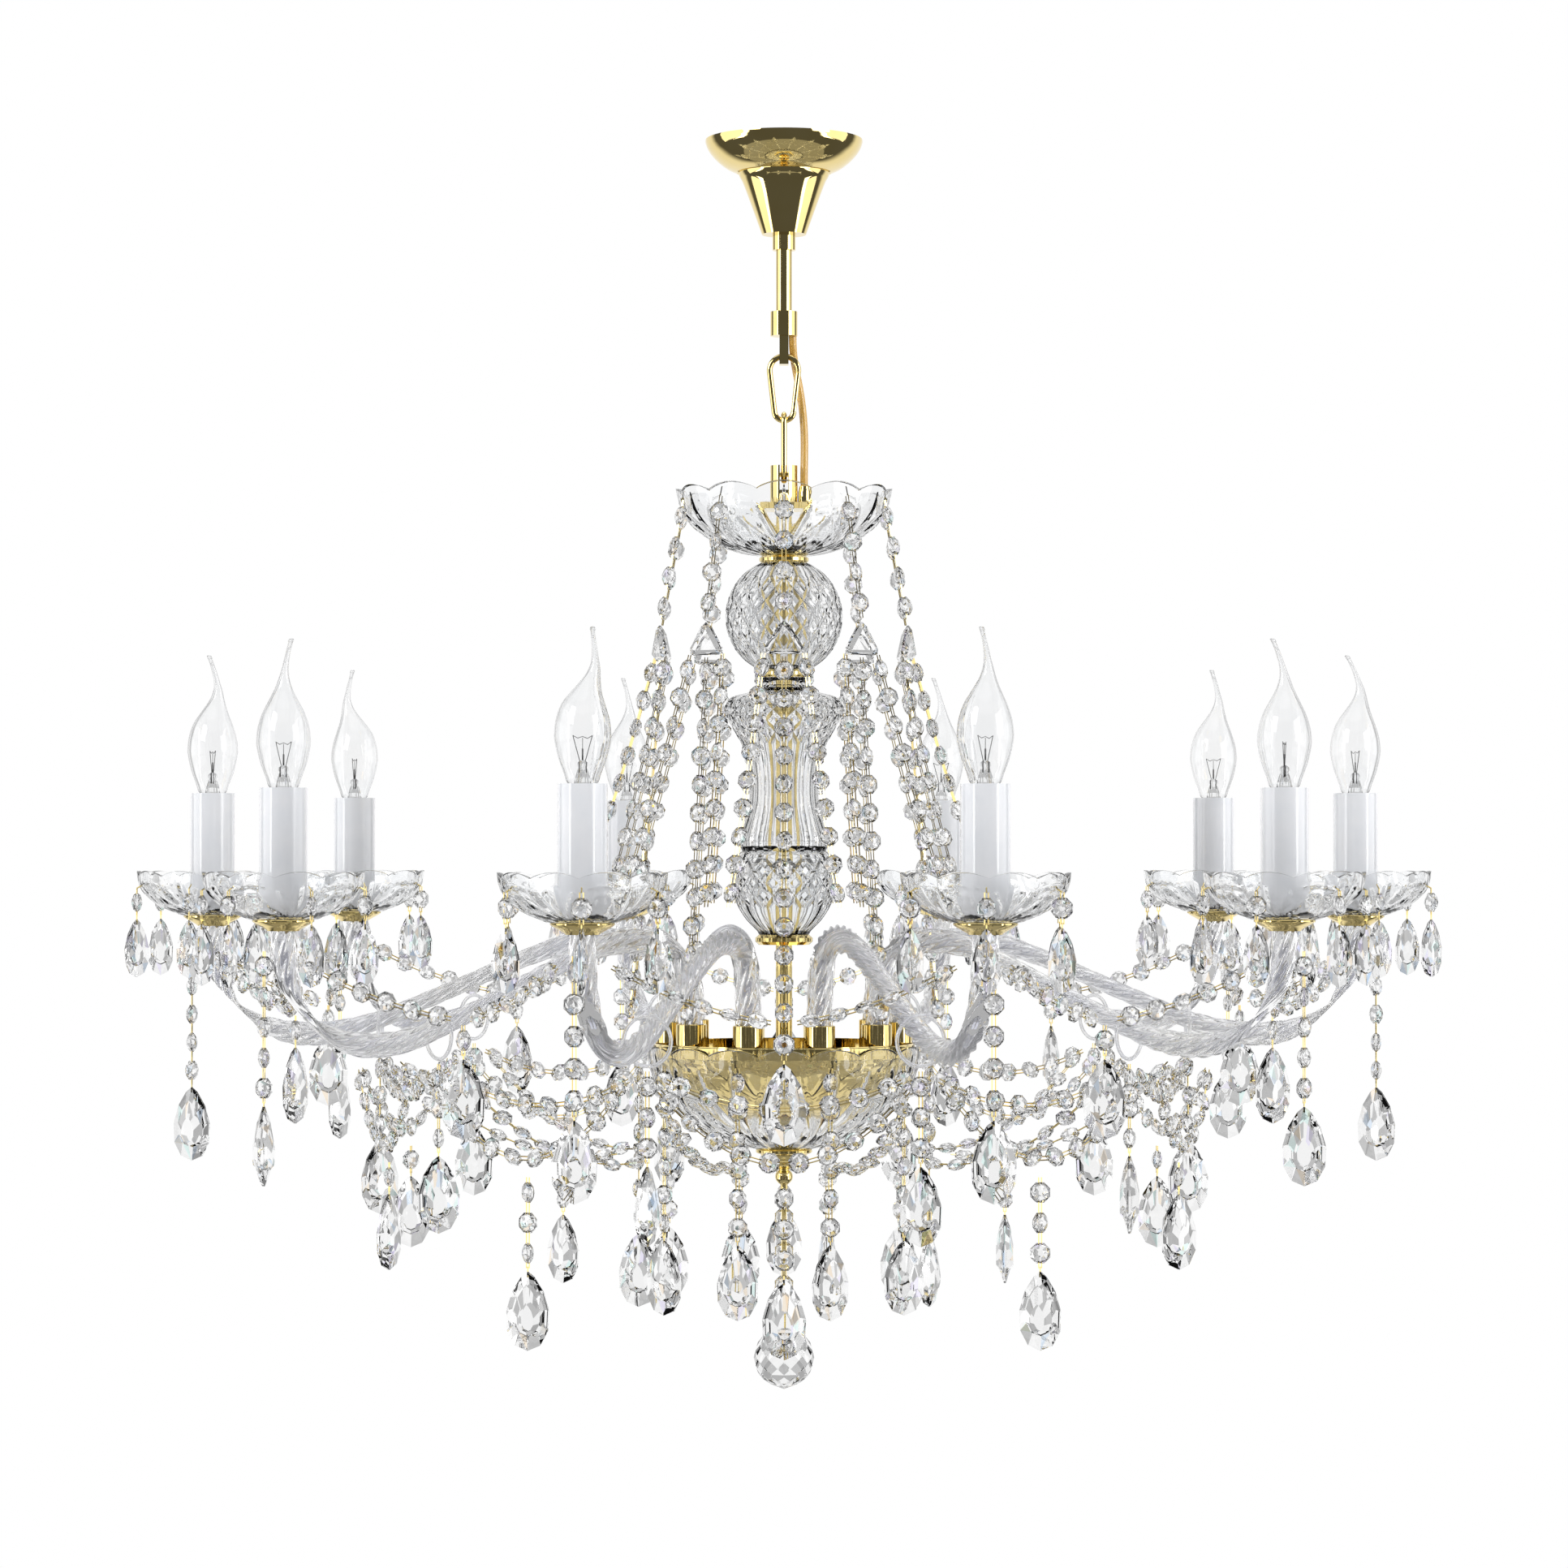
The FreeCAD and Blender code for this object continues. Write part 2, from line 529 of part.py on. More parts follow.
def centre_tube():
    """The threaded tube that carries the stem, from the yoke's foot to the bottom dish."""
    tube = turned("centre_tube", [
        ("Sizes.tube_bore", "Levels.yoke_low"),
        ("Sizes.tube_radius", "Levels.yoke_low"),
        ("Sizes.tube_radius", "Levels.low_dish_low"),
        ("Sizes.tube_bore", "Levels.low_dish_low"),
    ])
    keep(tube, "centre_tube")


def washer(name, radius, height, top):
    """A turned brass collar on the centre tube, with a rounded edge."""
    bore = "Sizes.tube_radius + Sizes.fit"
    return turned(name, [
        (bore, "0"),
        (f"{radius} * 0.88", "0"),
        (radius, f"-{height} * 0.3"),
        (radius, f"-{height} * 0.7"),
        (f"{radius} * 0.88", f"-{height}"),
        (bore, f"-{height}"),
    ], top)


def stem_collars():
    rings = [
        washer("collar_under_dish", "Sizes.collar_radius", "Sizes.collar_height", "Levels.dish_low"),
        washer("collar_under_ball", "Sizes.collar_radius", "Sizes.collar_height", "Levels.ball_low"),
        washer("collar_under_bowl", "Sizes.low_collar_radius", "Sizes.low_collar_height", "Levels.low_collar_top"),
    ]
    group = doc.addObject("Part::Compound", "collars")
    group.Links = rings
    keep(group, "stem_collars")


def stem_ball():
    ball = primitive("Sphere", "ball_blank", "Levels.ball_top - Levels.ball_half", Radius="Sizes.ball_radius",
                     Angle1="-acos(Sizes.ball_cut_radius / Sizes.ball_radius)",
                     Angle2="acos(Sizes.ball_cut_radius / Sizes.ball_radius)")
    bore = primitive("Cylinder", "ball_bore", "Levels.ball_low - 1", Radius="Sizes.tube_radius + Sizes.clearance",
                     Height="2 * Levels.ball_half + 2")
    keep(boolean("Cut", "ball_drilled", ball, bore), "stem_ball")


def stem_glass(label, curve, radius, height, top):
    """A solid glass stem piece bored for the tube; curve is (share of radius, share of height) from the top."""
    bore = "Sizes.tube_radius + Sizes.clearance"
    outline = [(bore, "0")]
    outline += [(f"{radius} * {share}", f"-{height} * {drop}") for share, drop in curve]
    outline.append((bore, f"-{height}"))
    keep(turned(label, outline, top), label)


def stem_vase_and_bowl():
    vase = [(0.40, 0.0), (0.42, 0.09), (0.90, 0.115), (1.0, 0.195), (0.89, 0.275), (0.74, 0.36), (0.62, 0.47),
            (0.575, 0.60), (0.60, 0.74), (0.70, 0.87), (0.74, 0.95), (0.69, 1.0)]
    stem_glass("stem_vase", vase, "Sizes.vase_radius", "Sizes.vase_height", "Levels.vase_top")
    bowl = [(0.78, 0.0), (0.90, 0.04), (0.98, 0.18), (1.0, 0.33), (0.97, 0.50), (0.88, 0.68), (0.70, 0.85),
            (0.50, 0.96), (0.47, 1.0)]
    stem_glass("stem_bowl", bowl, "Sizes.bowl_radius", "Sizes.bowl_height", "Levels.bowl_top")


# ---------------------------------------------------------------- hub, sockets, bottom dish and finial


def hub():
    hole = "Sizes.tube_radius + Sizes.fit"
    outline = shell_outline(HUB_CURVE, "Levels.hub_radius", "Sizes.hub_depth", "Sizes.sheet_wall", hole)
    keep(turned("hub_bowl", outline, "Levels.hub_low"), "hub_bowl")
    plate = turned("hub_plate", [
        (hole, "0"),
        ("Levels.hub_radius - Sizes.sheet_wall - Sizes.clearance", "0"),
        ("Levels.hub_radius - Sizes.sheet_wall - Sizes.clearance", "-Sizes.hub_plate_thickness"),
        (hole, "-Sizes.hub_plate_thickness"),
    ], "Levels.hub_plate_top")
    keep(plate, "hub_plate")


def arm_sockets():
    outer = Part.makeCylinder(at("socket_radius"), size("socket_height"))
    bore = Part.makeCylinder(size("arm_radius") + size("clearance"), size("socket_height") + 2, V(0, 0, -1))
    socket = outer.cut(bore)
    socket.translate(spot(0, size("socket_circle"), at("hub_plate_top")))
    shape_part("arm_sockets", Part.makeCompound([around(socket, angle) for angle in arm_angles()]))


def low_dish():
    hole = "Sizes.tube_radius + Sizes.clearance"
    outline = shell_outline(DISH_CURVE, "Levels.low_dish_radius", "Levels.low_dish_depth",
                            "Sizes.low_dish_wall", hole)
    keep(turned("bottom_dish", outline, "Levels.low_dish_low"), "bottom_dish")


def finial():
    curve = [(1.0, 0.0), (1.0, 0.09), (0.84, 0.13), (0.66, 0.22), (0.34, 0.34), (0.20, 0.42), (0.30, 0.52),
             (0.31, 0.62), (0.20, 0.72), (0.12, 0.80), (0.13, 0.92), (0.05, 1.0)]
    outline = [("0", "0")]
    outline += [(f"Sizes.finial_radius * {share}", f"-Sizes.finial_height * {drop}") for share, drop in curve]
    outline.append(("0", "-Sizes.finial_height"))
    keep(turned("finial", outline, "Levels.low_dish_low"), "finial")


# ---------------------------------------------------------------- arms with their wiring and swag rings

# Each point is (share of the arm's reach from the socket, share of its height above the seat).
ARM_ROUTE = [(0.0, 0.0), (0.0, 0.50), (0.04, 0.80), (0.15, 0.885), (0.27, 0.80), (0.58, 0.31), (0.71, 0.135),
             (0.84, 0.12), (0.93, 0.27), (1.0, 0.60), (1.0, 1.0)]


def arm_path(lift=0.0):
    reach = size("candle_circle") - size("socket_circle")
    corners = []
    for along, rise in ARM_ROUTE:
        corners.append(V(0, -size("socket_circle") - along * reach, at("arm_seat") + rise * size("arm_height")))
    corners[0] = corners[0] + V(0, 0, lift)
    corners[-1] = corners[-1] - V(0, 0, lift)
    return rounded_path(corners)[0]


def glass_arms():
    path = arm_path()
    arm = pipe(path, size("arm_radius")).cut(pipe(path, size("arm_bore")))
    for number, angle in enumerate(arm_angles(), start=1):
        shape_part(f"arm_{number:02d}", around(arm, angle))
    wire = pipe(arm_path(1.0), size("wiring_radius"))
    shape_part("arm_wiring", Part.makeCompound([around(wire, angle) for angle in arm_angles()]))


def ring_centre_height():
    """A swag ring hangs with the top of its wire on the arm's upper side."""
    reach = size("candle_circle") - size("socket_circle")
    share = (size("ring_circle") - size("socket_circle")) / reach
    for (start, low), (end, high) in zip(ARM_ROUTE[1:], ARM_ROUTE[2:]):
        if start <= share <= end:
            rise = low + (high - low) * (share - start) / (end - start)
            slope = (high - low) * size("arm_height") / ((end - start) * reach)
    middle = at("arm_seat") + rise * size("arm_height")
    upper = middle + size("arm_radius") * math.sqrt(1 + slope ** 2)
    return upper - (size("ring_radius") - 2 * size("ring_wire")) + size("clearance")


def swag_rings():
    ring = Part.makeTorus(size("ring_radius"), size("ring_wire"), V(0, 0, 0), V(0, 1, 0))
    ring.translate(spot(0, size("ring_circle"), ring_centre_height()))
    shape_part("swag_rings", Part.makeCompound([around(ring, angle) for angle in arm_angles()]))


# ---------------------------------------------------------------- candles


def candle_group(label, master):
    """Ten copies of a piece made on the front axis, one at each arm's end."""
    doc.recompute()
    shape = master.Shape.copy()
    placed = []
    for angle in arm_angles():
        copy = shape.copy()
        copy.translate(spot(angle, size("candle_circle"), 0))
        placed.append(copy)
    shape_part(label, Part.makeCompound(placed))


def candle_fittings():
    drip = turned("plate_master", [
        ("Sizes.arm_bore", "0"),
        ("Sizes.plate_radius", "0"),
        ("Sizes.plate_radius", "-Sizes.plate_thickness * 0.4"),
        ("Sizes.arm_radius + Sizes.plate_wall", "-Sizes.plate_thickness"),
        ("Sizes.arm_radius + Sizes.plate_wall", "-Sizes.plate_thickness - Sizes.plate_cup_height"),
        ("Sizes.arm_radius + Sizes.clearance", "-Sizes.plate_thickness - Sizes.plate_cup_height"),
        ("Sizes.arm_radius + Sizes.clearance", "-Sizes.plate_thickness"),
        ("Sizes.arm_bore", "-Sizes.plate_thickness"),
    ], "Levels.plate_top")
    candle_group("pan_plates", drip)
    outline = shell_outline(PAN_CURVE, "Sizes.pan_radius", "Sizes.pan_depth", "Sizes.pan_wall", "Sizes.arm_bore")
    candle_group("drip_pans", turned("pan_master", outline, "Levels.plate_top"))
    sleeve = turned("candle_master", [
        ("Sizes.candle_radius - Sizes.candle_wall", "Sizes.candle_height"),
        ("Sizes.candle_radius", "Sizes.candle_height"),
        ("Sizes.candle_radius", "0"),
        ("Sizes.candle_radius - Sizes.candle_wall", "0"),
    ], "Levels.candle_low")
    candle_group("candle_sleeves", sleeve)
    seat = "-Sizes.cap_length - Sizes.clearance"
    holder = turned("holder_master", [
        ("0", seat),
        ("Sizes.cap_radius + Sizes.fit", seat),
        ("Sizes.cap_radius + Sizes.fit", "0"),
        ("Levels.holder_radius", "0"),
        ("Levels.holder_radius", "-Sizes.cap_length - Sizes.holder_floor"),
        ("Sizes.holder_stem_radius", "-Sizes.cap_length - Sizes.holder_floor - Sizes.holder_taper"),
        ("Sizes.holder_stem_radius", "-Sizes.candle_height + Sizes.candle_sink"),
        ("0", "-Sizes.candle_height + Sizes.candle_sink"),
    ], "Levels.holder_top")
    candle_group("lampholders", holder)


def bulbs():
    """Flame-tip bulbs: each node is its screw cap and its glass, which meet face to face."""
    cap = turned("cap_master", [
        ("0", "0"),
        ("Sizes.cap_radius", "0"),
        ("Sizes.cap_radius", "-Sizes.cap_length * 0.84"),
        ("Sizes.cap_radius * 0.5", "-Sizes.cap_length"),
        ("0", "-Sizes.cap_length"),
    ], "Levels.holder_top")
    curve = [(0.38, 0.0), (0.56, 0.03), (0.68, 0.10), (0.90, 0.20), (1.0, 0.32), (0.93, 0.43), (0.72, 0.54),
             (0.46, 0.65), (0.24, 0.76), (0.11, 0.87), (0.07, 0.97), (0.07, 1.0)]
    outline = [("0", "0")]
    outline += [(f"Sizes.bulb_radius * {share}", f"Sizes.bulb_length * {rise}") for share, rise in curve]
    outline.append(("0", "Sizes.bulb_length"))
    glass = turned("glass_master", outline, "Levels.holder_top")
    doc.recompute()
    for number, angle in enumerate(arm_angles(), start=1):
        lift = spot(angle, size("candle_circle"), 0)
        pieces = [cap.Shape.copy(), glass.Shape.copy()]
        for piece in pieces:
            piece.translate(lift)
        shape_part(f"bulb_{number:02d}", Part.makeCompound(pieces))


# ---------------------------------------------------------------- cut glass strings and drops


def ring_points(radius_x, radius_y, height, count):
    points = []
    for number in range(count):
        turn = 2 * math.pi * (number + 0.5) / count
        points.append(V(radius_x * math.cos(turn), radius_y * math.sin(turn), height))
    return points


def faceted(rings, top, bottom):
    """A closed cut-glass solid: rings of corners joined by flat faces, with a point at each end."""
    faces = []
    count = len(rings[0])
    for number in range(count):
        after = (number + 1) % count
        faces.append([top, rings[0][number], rings[0][after]])
        for upper, lower in zip(rings, rings[1:]):
            faces.append([upper[number], lower[number], lower[after], upper[after]])
        faces.append([bottom, rings[-1][after], rings[-1][number]])
    walls = [Part.Face(Part.makePolygon(corners + [corners[0]])) for corners in faces]
    solid = Part.makeSolid(Part.makeShell(walls))
    if solid.Volume < 0:
        solid.reverse()
    return solid


def bead_shape():
    """An octagon bead: its flat axis is X, and the string runs through it along Z."""
    corners = 8
    half = size("bead_half")
    ring = []
    for number in range(corners):
        turn = 2 * math.pi * (number + 0.5) / corners
        ring.append(V(0, size("bead_radius") * math.cos(turn), size("bead_radius") * math.sin(turn)))
    return faceted([ring], V(half, 0, 0), V(-half, 0, 0))


# Each ring is (share of the half width, share of the length below the top hole).
PEAR_RINGS = [(0.42, 0.24), (1.0, 0.66), (0.66, 0.90)]


def pear_shape(length, half_width, half_depth):
    """A flat faceted pear drop hanging from the origin."""
    rings = [ring_points(half_width * share, half_depth * share, -length * drop, 8)
             for share, drop in PEAR_RINGS]
    return faceted(rings, V(0, 0, 0), V(0, 0, -length))


def placed(shape, point, along, lean):
    """A copy of a bead at a point: its Z runs along the string and its flat faces look to and from the stem."""
    away = V(point.x, point.y, 0) if math.hypot(point.x, point.y) > 1 else V(0, -1, 0)
    flat = (away - along * away.dot(along)).normalize()
    turn = FreeCAD.Rotation(flat, along.cross(flat), along, "ZXY").multiply(FreeCAD.Rotation(UP, lean))
    copy = shape.copy()
    copy.Placement = FreeCAD.Placement(point, turn)
    return copy


def string_points(start, end, sag, pitch):
    """Bead centres and directions along a string that hangs between two points."""
    samples = 200
    line = []
    for number in range(samples + 1):
        share = number / samples
        line.append(start + (end - start) * share - UP * (4 * sag * share * (1 - share)))
    steps = [(after - before).Length for before, after in zip(line, line[1:])]
    count = max(1, round(sum(steps) / pitch))
    gap = sum(steps) / count
    beads = []
    run = 0.0
    for before, after, step in zip(line, line[1:], steps):
        while len(beads) < count and (len(beads) + 0.5) * gap <= run + step:
            share = ((len(beads) + 0.5) * gap - run) / step
            beads.append((before + (after - before) * share, (after - before).normalize()))
        run += step
    return beads


# How far, in degrees, one bead or drop after another is turned from straight.
BEAD_LEANS = [0, 14, -20, 26, -8, 35, -30, 6]
DROP_LEANS = [8, -22, 31, -12, 84, 15, -34, 4, 62, -8]


class Strings:
    """Collects the beads and drops of one group of strings."""

    def __init__(self):
        self.bead = bead_shape()
        self.pear = pear_shape(size("pear_length"), size("pear_half_width"), size("pear_half_depth"))
        self.drop = pear_shape(size("drop_length"), size("drop_half_width"), size("drop_half_depth"))
        self.beads = []
        self.drops = []

    def string(self, start, end, sag=0.0):
        for point, along in string_points(start, end, sag, size("bead_pitch")):
            lean = BEAD_LEANS[len(self.beads) % len(BEAD_LEANS)]
            self.beads.append(placed(self.bead, point, along, lean))

    def hang(self, point, count, shape):
        """Beads straight down from a point, with a drop under them."""
        foot = point - UP * (size("bead_pitch") * count)
        self.string(point, foot)
        drop = shape.copy()
        turn = FreeCAD.Rotation(UP, DROP_LEANS[len(self.drops) % len(DROP_LEANS)])
        drop.Placement = FreeCAD.Placement(foot - UP * PIN_LENGTH, turn)
        self.drops.append(drop)


# Where the strings are hooked: distances from the piece that each is named after, and how far they sag.
PIN_LENGTH = 2
HOOK_INSET = 2.2
HOOK_BELOW_RIM = 8
SPREADER_BEYOND_DISH = 14.4
SPREADER_DROP = 101
SPREADER_HEIGHT = 12
SPREADER_FOOT = 9
SPREADER_HALF_WIDTH = 13
SPREADER_THICKNESS = 6
STRAND_SPREAD = 14
STRAND_SAG = 6
ARCH_SHARE = 0.211
ARCH_RISE = 0.86
ARCH_CLEARANCE = 24
MIDDLE_BEYOND_SOCKET = 33.5
MIDDLE_ABOVE_SEAT = 20
SWAG_INSIDE_CANDLE = 53
SWAG_DROP = 56
SWAG_SAG = 5
SWAG_SIDE = 18.06
SWAG_START_INSET = 3
SWAG_START_DROP = 18
SWAG_TIE = 9
PEAR_BELOW_SWAG = 1
PAN_PINS = 6
PIN_TURN = 20
PIN_BELOW_PAN = 12
PIN_BEYOND_PAN = 0.8
ARM_DROP_BEYOND = 14
ARM_DROP_BELOW = 11
ARM_DROP_BEADS = 5
RING_INSET = 14
RING_DROP = 8
RING_SPREAD = 12.5
RING_BEADS = 3
RIM_HOOK_DROP = 12
RIM_HOOK_REACH = 5
RIM_BEADS = 6
LOW_SWAG_REACH = 15
LOW_SWAG_DROP = 64
LOW_SWAG_SAG = 22
BAY_SAG = 18
BAY_OUTER_SAG = 46
BAY_OUTER_TILT = 0.4
BAY_PEAR_DROP = 72


def upper_strings():
    """From each dish hook four beads, a spreader, two strands to the arms' arches and one down to the hub."""
    half = TURN / size("arm_count") / 2
    reach = size("candle_circle") - size("socket_circle")
    hook_height = at("dish_low") + size("dish_depth") - HOOK_BELOW_RIM
    arch_circle = size("socket_circle") + ARCH_SHARE * reach
    arch_height = at("arm_seat") + size("arm_height") * ARCH_RISE + ARCH_CLEARANCE
    spreader_circle = size("dish_radius") + SPREADER_BEYOND_DISH
    corners = [V(0, 0, SPREADER_HEIGHT), V(-SPREADER_HALF_WIDTH, 0, -SPREADER_FOOT),
               V(SPREADER_HALF_WIDTH, 0, -SPREADER_FOOT)]
    spreader = Part.Face(Part.makePolygon(corners + corners[:1])).extrude(V(0, SPREADER_THICKNESS, 0))
    spreader.translate(V(0, -SPREADER_THICKNESS / 2, 0))
    upper = Strings()
    for angle in bay_angles():
        centre = spot(angle, spreader_circle, hook_height - SPREADER_DROP)
        hook = spot(angle, size("dish_radius") - HOOK_INSET, hook_height - PIN_LENGTH)
        upper.string(hook, centre + UP * (SPREADER_HEIGHT + 3))
        piece = spreader.copy()
        piece.rotate(V(0, 0, 0), UP, angle)
        piece.translate(centre)
        upper.beads.append(piece)
        turn = math.radians(angle)
        for side in (-1, 1):
            outward = V(math.cos(turn), math.sin(turn), 0) * (STRAND_SPREAD * side)
            end = spot(angle + side * half, arch_circle, arch_height)
            upper.string(centre + outward - UP * (SPREADER_FOOT + 1), end - outward * 0.6, STRAND_SAG)
        end = spot(angle, size("socket_circle") + MIDDLE_BEYOND_SOCKET, at("arm_seat") + MIDDLE_ABOVE_SEAT)
        upper.string(centre - UP * SPREADER_HEIGHT, end)
    shape_part("upper_strings", Part.makeCompound(upper.beads))


def pan_strings(group):
    """Swags between the arms' ends with a pear in the middle, and the small drops on each pan's pins."""
    candle_circle = size("candle_circle")
    half = TURN / size("arm_count") / 2
    lean = math.degrees(SWAG_SIDE / candle_circle)
    plate_low = at("plate_top") - size("plate_thickness") - size("plate_cup_height")
    start_height = plate_low - SWAG_START_DROP
    for angle in bay_angles():
        centre = spot(angle, candle_circle - SWAG_INSIDE_CANDLE, plate_low - SWAG_DROP)
        for side in (-1, 1):
            start = spot(angle + side * (half - lean), candle_circle - SWAG_START_INSET, start_height)
            group.string(start, centre + (start - centre).normalize() * SWAG_TIE, SWAG_SAG)
        group.hang(centre - UP * PEAR_BELOW_SWAG, 1, group.pear)
    pin_reach = size("pan_radius") + PIN_BEYOND_PAN
    for angle in arm_angles():
        middle = spot(angle, candle_circle, 0)
        first = angle - math.copysign(PIN_TURN, middle.x)
        for number in range(PAN_PINS):
            pin = middle + spot(first + TURN / PAN_PINS * number, pin_reach, at("pan_top") - PIN_BELOW_PAN)
            group.hang(pin, 1, group.drop)


def low_strings(group):
    """Drop strings and swags under the arms, the swag rings and the bottom dish."""
    half = TURN / size("arm_count") / 2
    plate_low = at("plate_top") - size("plate_thickness") - size("plate_cup_height")
    ring_circle = size("ring_circle")
    ring_low = ring_centre_height() - size("ring_radius") - size("ring_wire")
    rim = at("low_dish_top") - RIM_HOOK_DROP
    rim_hook = at("low_dish_radius") + RIM_HOOK_REACH
    for angle in arm_angles():
        end = spot(angle, size("candle_circle") + ARM_DROP_BEYOND, plate_low - ARM_DROP_BELOW)
        group.hang(end, ARM_DROP_BEADS, group.pear)
        group.hang(spot(angle, ring_circle, ring_low - PIN_LENGTH), RING_BEADS, group.pear)
        group.hang(spot(angle, rim_hook, rim), RIM_BEADS, group.pear)
        start = spot(angle, ring_circle - RING_INSET, ring_low - RING_DROP)
        group.string(start, spot(angle, rim_hook + LOW_SWAG_REACH, rim - LOW_SWAG_DROP), LOW_SWAG_SAG)
    lean = math.degrees(RING_SPREAD / ring_circle)
    for angle in bay_angles():
        for sag, tuck in ((BAY_SAG, 0), (BAY_OUTER_SAG, RING_INSET)):
            height = ring_low - RING_DROP - tuck * BAY_OUTER_TILT
            ends = [spot(angle + side * (half - lean), ring_circle + tuck, height) for side in (-1, 1)]
            group.string(ends[0], ends[1], sag)
        across = (ring_circle + RING_INSET) * math.cos(math.radians(half))
        on_side = abs(math.sin(math.radians(angle))) > 0.9
        group.hang(spot(angle, across, ring_low - BAY_PEAR_DROP), 1 if on_side else 3, group.pear)


def crystal_strings():
    upper_strings()
    lower = Strings()
    pan_strings(lower)
    low_strings(lower)
    shape_part("lower_strings", Part.makeCompound(lower.beads))
    shape_part("pear_drops", Part.makeCompound(lower.drops))


def hanging_ball():
    """The crystal ball under the finial, on its own wire with three beads above it."""
    length = size("ball_hang") - 2 * size("clearance")
    wire = Part.makeCylinder(size("ball_wire_radius"), length, V(0, 0, at("ball_wire_low")))
    shape_part("ball_wire", wire)
    bore = Part.makeCylinder(size("ball_wire_radius") + size("fit"), size("ball_hang") + 2)
    bore.translate(V(0, 0, at("ball_wire_low") - 1))
    radius = size("crystal_ball_radius")
    middle = at("ball_wire_low") - radius
    tiers = 5
    rings = []
    for tier in range(1, tiers + 1):
        lean = math.pi * tier / (tiers + 1)
        rings.append(ring_points(radius * math.sin(lean), radius * math.sin(lean),
                                 middle + radius * math.cos(lean), 12))
    solids = [faceted(rings, V(0, 0, middle + radius), V(0, 0, middle - radius * 1.05))]
    bead = bead_shape()
    for number in range(3):
        height = at("finial_low") - 14 - number * size("bead_pitch") * 1.2
        solids.append(placed(bead, V(0, 0, height), UP, 0).cut(bore))
    shape_part("crystal_ball", Part.makeCompound(solids))


# ---------------------------------------------------------------- build, test and write

ceiling_bracket()
rod_nut()
terminal_block()
down_rod()
rod_coupling()
canopy()
canopy_collar()
snap_hook()
chain_link()
hanger_yoke()
supply_cable()
cable_gland()
top_dish()
centre_tube()
stem_collars()
stem_ball()
stem_vase_and_bowl()
hub()
arm_sockets()
low_dish()
finial()
glass_arms()
swag_rings()
candle_fittings()
bulbs()
crystal_strings()
hanging_ball()
doc.recompute()

for thing in doc.Objects:
    if "Invalid" in thing.State or "Error" in thing.State:
        raise RuntimeError(f"{thing.Name} did not build: {thing.State}")

os.makedirs("parts", exist_ok=True)
for label, feature in made.items():
    shape = feature.Shape
    if shape.isNull() or not shape.isValid():
        raise RuntimeError(f"{label} has no valid shape")
    shape.exportStep(f"parts/{label}.step")
    box = shape.BoundBox
    print(label, len(shape.Solids), round(shape.Volume, 1), round(box.ZMin, 1), round(box.ZMax, 1))
print(len(made), "sub-parts")
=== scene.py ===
import math
import random

import bmesh
import bpy
from mathutils import Matrix, Vector
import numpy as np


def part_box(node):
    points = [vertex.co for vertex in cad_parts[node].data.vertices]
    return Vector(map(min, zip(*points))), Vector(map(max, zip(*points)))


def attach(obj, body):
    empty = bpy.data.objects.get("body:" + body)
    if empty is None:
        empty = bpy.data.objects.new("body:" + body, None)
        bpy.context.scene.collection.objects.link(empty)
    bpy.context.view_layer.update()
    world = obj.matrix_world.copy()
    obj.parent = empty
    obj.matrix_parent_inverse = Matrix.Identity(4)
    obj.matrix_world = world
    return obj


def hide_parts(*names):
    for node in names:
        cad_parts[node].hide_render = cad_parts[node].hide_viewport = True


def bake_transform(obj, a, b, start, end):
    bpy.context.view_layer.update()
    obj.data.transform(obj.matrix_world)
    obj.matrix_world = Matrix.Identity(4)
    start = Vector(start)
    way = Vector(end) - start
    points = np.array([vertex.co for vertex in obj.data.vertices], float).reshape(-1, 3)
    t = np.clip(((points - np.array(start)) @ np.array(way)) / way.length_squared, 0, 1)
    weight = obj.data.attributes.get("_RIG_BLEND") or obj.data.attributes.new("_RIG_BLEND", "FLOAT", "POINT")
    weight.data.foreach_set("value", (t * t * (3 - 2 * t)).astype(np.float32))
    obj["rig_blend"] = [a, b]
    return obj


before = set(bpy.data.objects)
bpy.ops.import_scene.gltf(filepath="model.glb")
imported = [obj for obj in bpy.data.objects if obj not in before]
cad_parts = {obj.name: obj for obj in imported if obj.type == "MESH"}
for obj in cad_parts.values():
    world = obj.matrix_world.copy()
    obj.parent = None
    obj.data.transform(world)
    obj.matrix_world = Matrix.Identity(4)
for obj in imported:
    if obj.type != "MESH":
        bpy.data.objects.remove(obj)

# A ten-arm crystal chandelier. Lengths are in metres; MM turns a length on the drawing into metres.
# Angles round the stem are counted from the front, -Y, towards +X.

MM = 0.001
UP = Vector((0, 0, 1))
FULL = 2 * math.pi
WELD = 1e-6
ARMS = 10
HALF_BAY = 180 / ARMS
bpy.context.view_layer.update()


def low(node):
    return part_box(node)[0]


def high(node):
    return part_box(node)[1]


def spot(angle, radius, height):
    """The point at an angle in degrees from the front, a distance from the stem and a height."""
    turn = math.radians(angle)
    return Vector((radius * math.sin(turn), -radius * math.cos(turn), height))


ARM_ANGLES = [360 / ARMS * (number + 0.5) for number in range(ARMS)]
BAY_ANGLES = [360 / ARMS * number for number in range(ARMS)]
CANDLE_CIRCLE = (low("bulb_03").x + high("bulb_03").x) / 2
SOCKET_RADIUS = 10.5 * MM
SOCKET_CIRCLE = (high("arm_sockets").x - low("arm_sockets").x) / 2 - SOCKET_RADIUS
STEM = "chandelier"


def placed(name, data):
    """A new object in the scene."""
    thing = bpy.data.objects.new(name, data)
    bpy.context.scene.collection.objects.link(thing)
    return thing


CAMERA_PLACE = (0, -3.064, -0.503)
CAMERA_LENS = 101
TILT_FROM_DOWN = 91.0


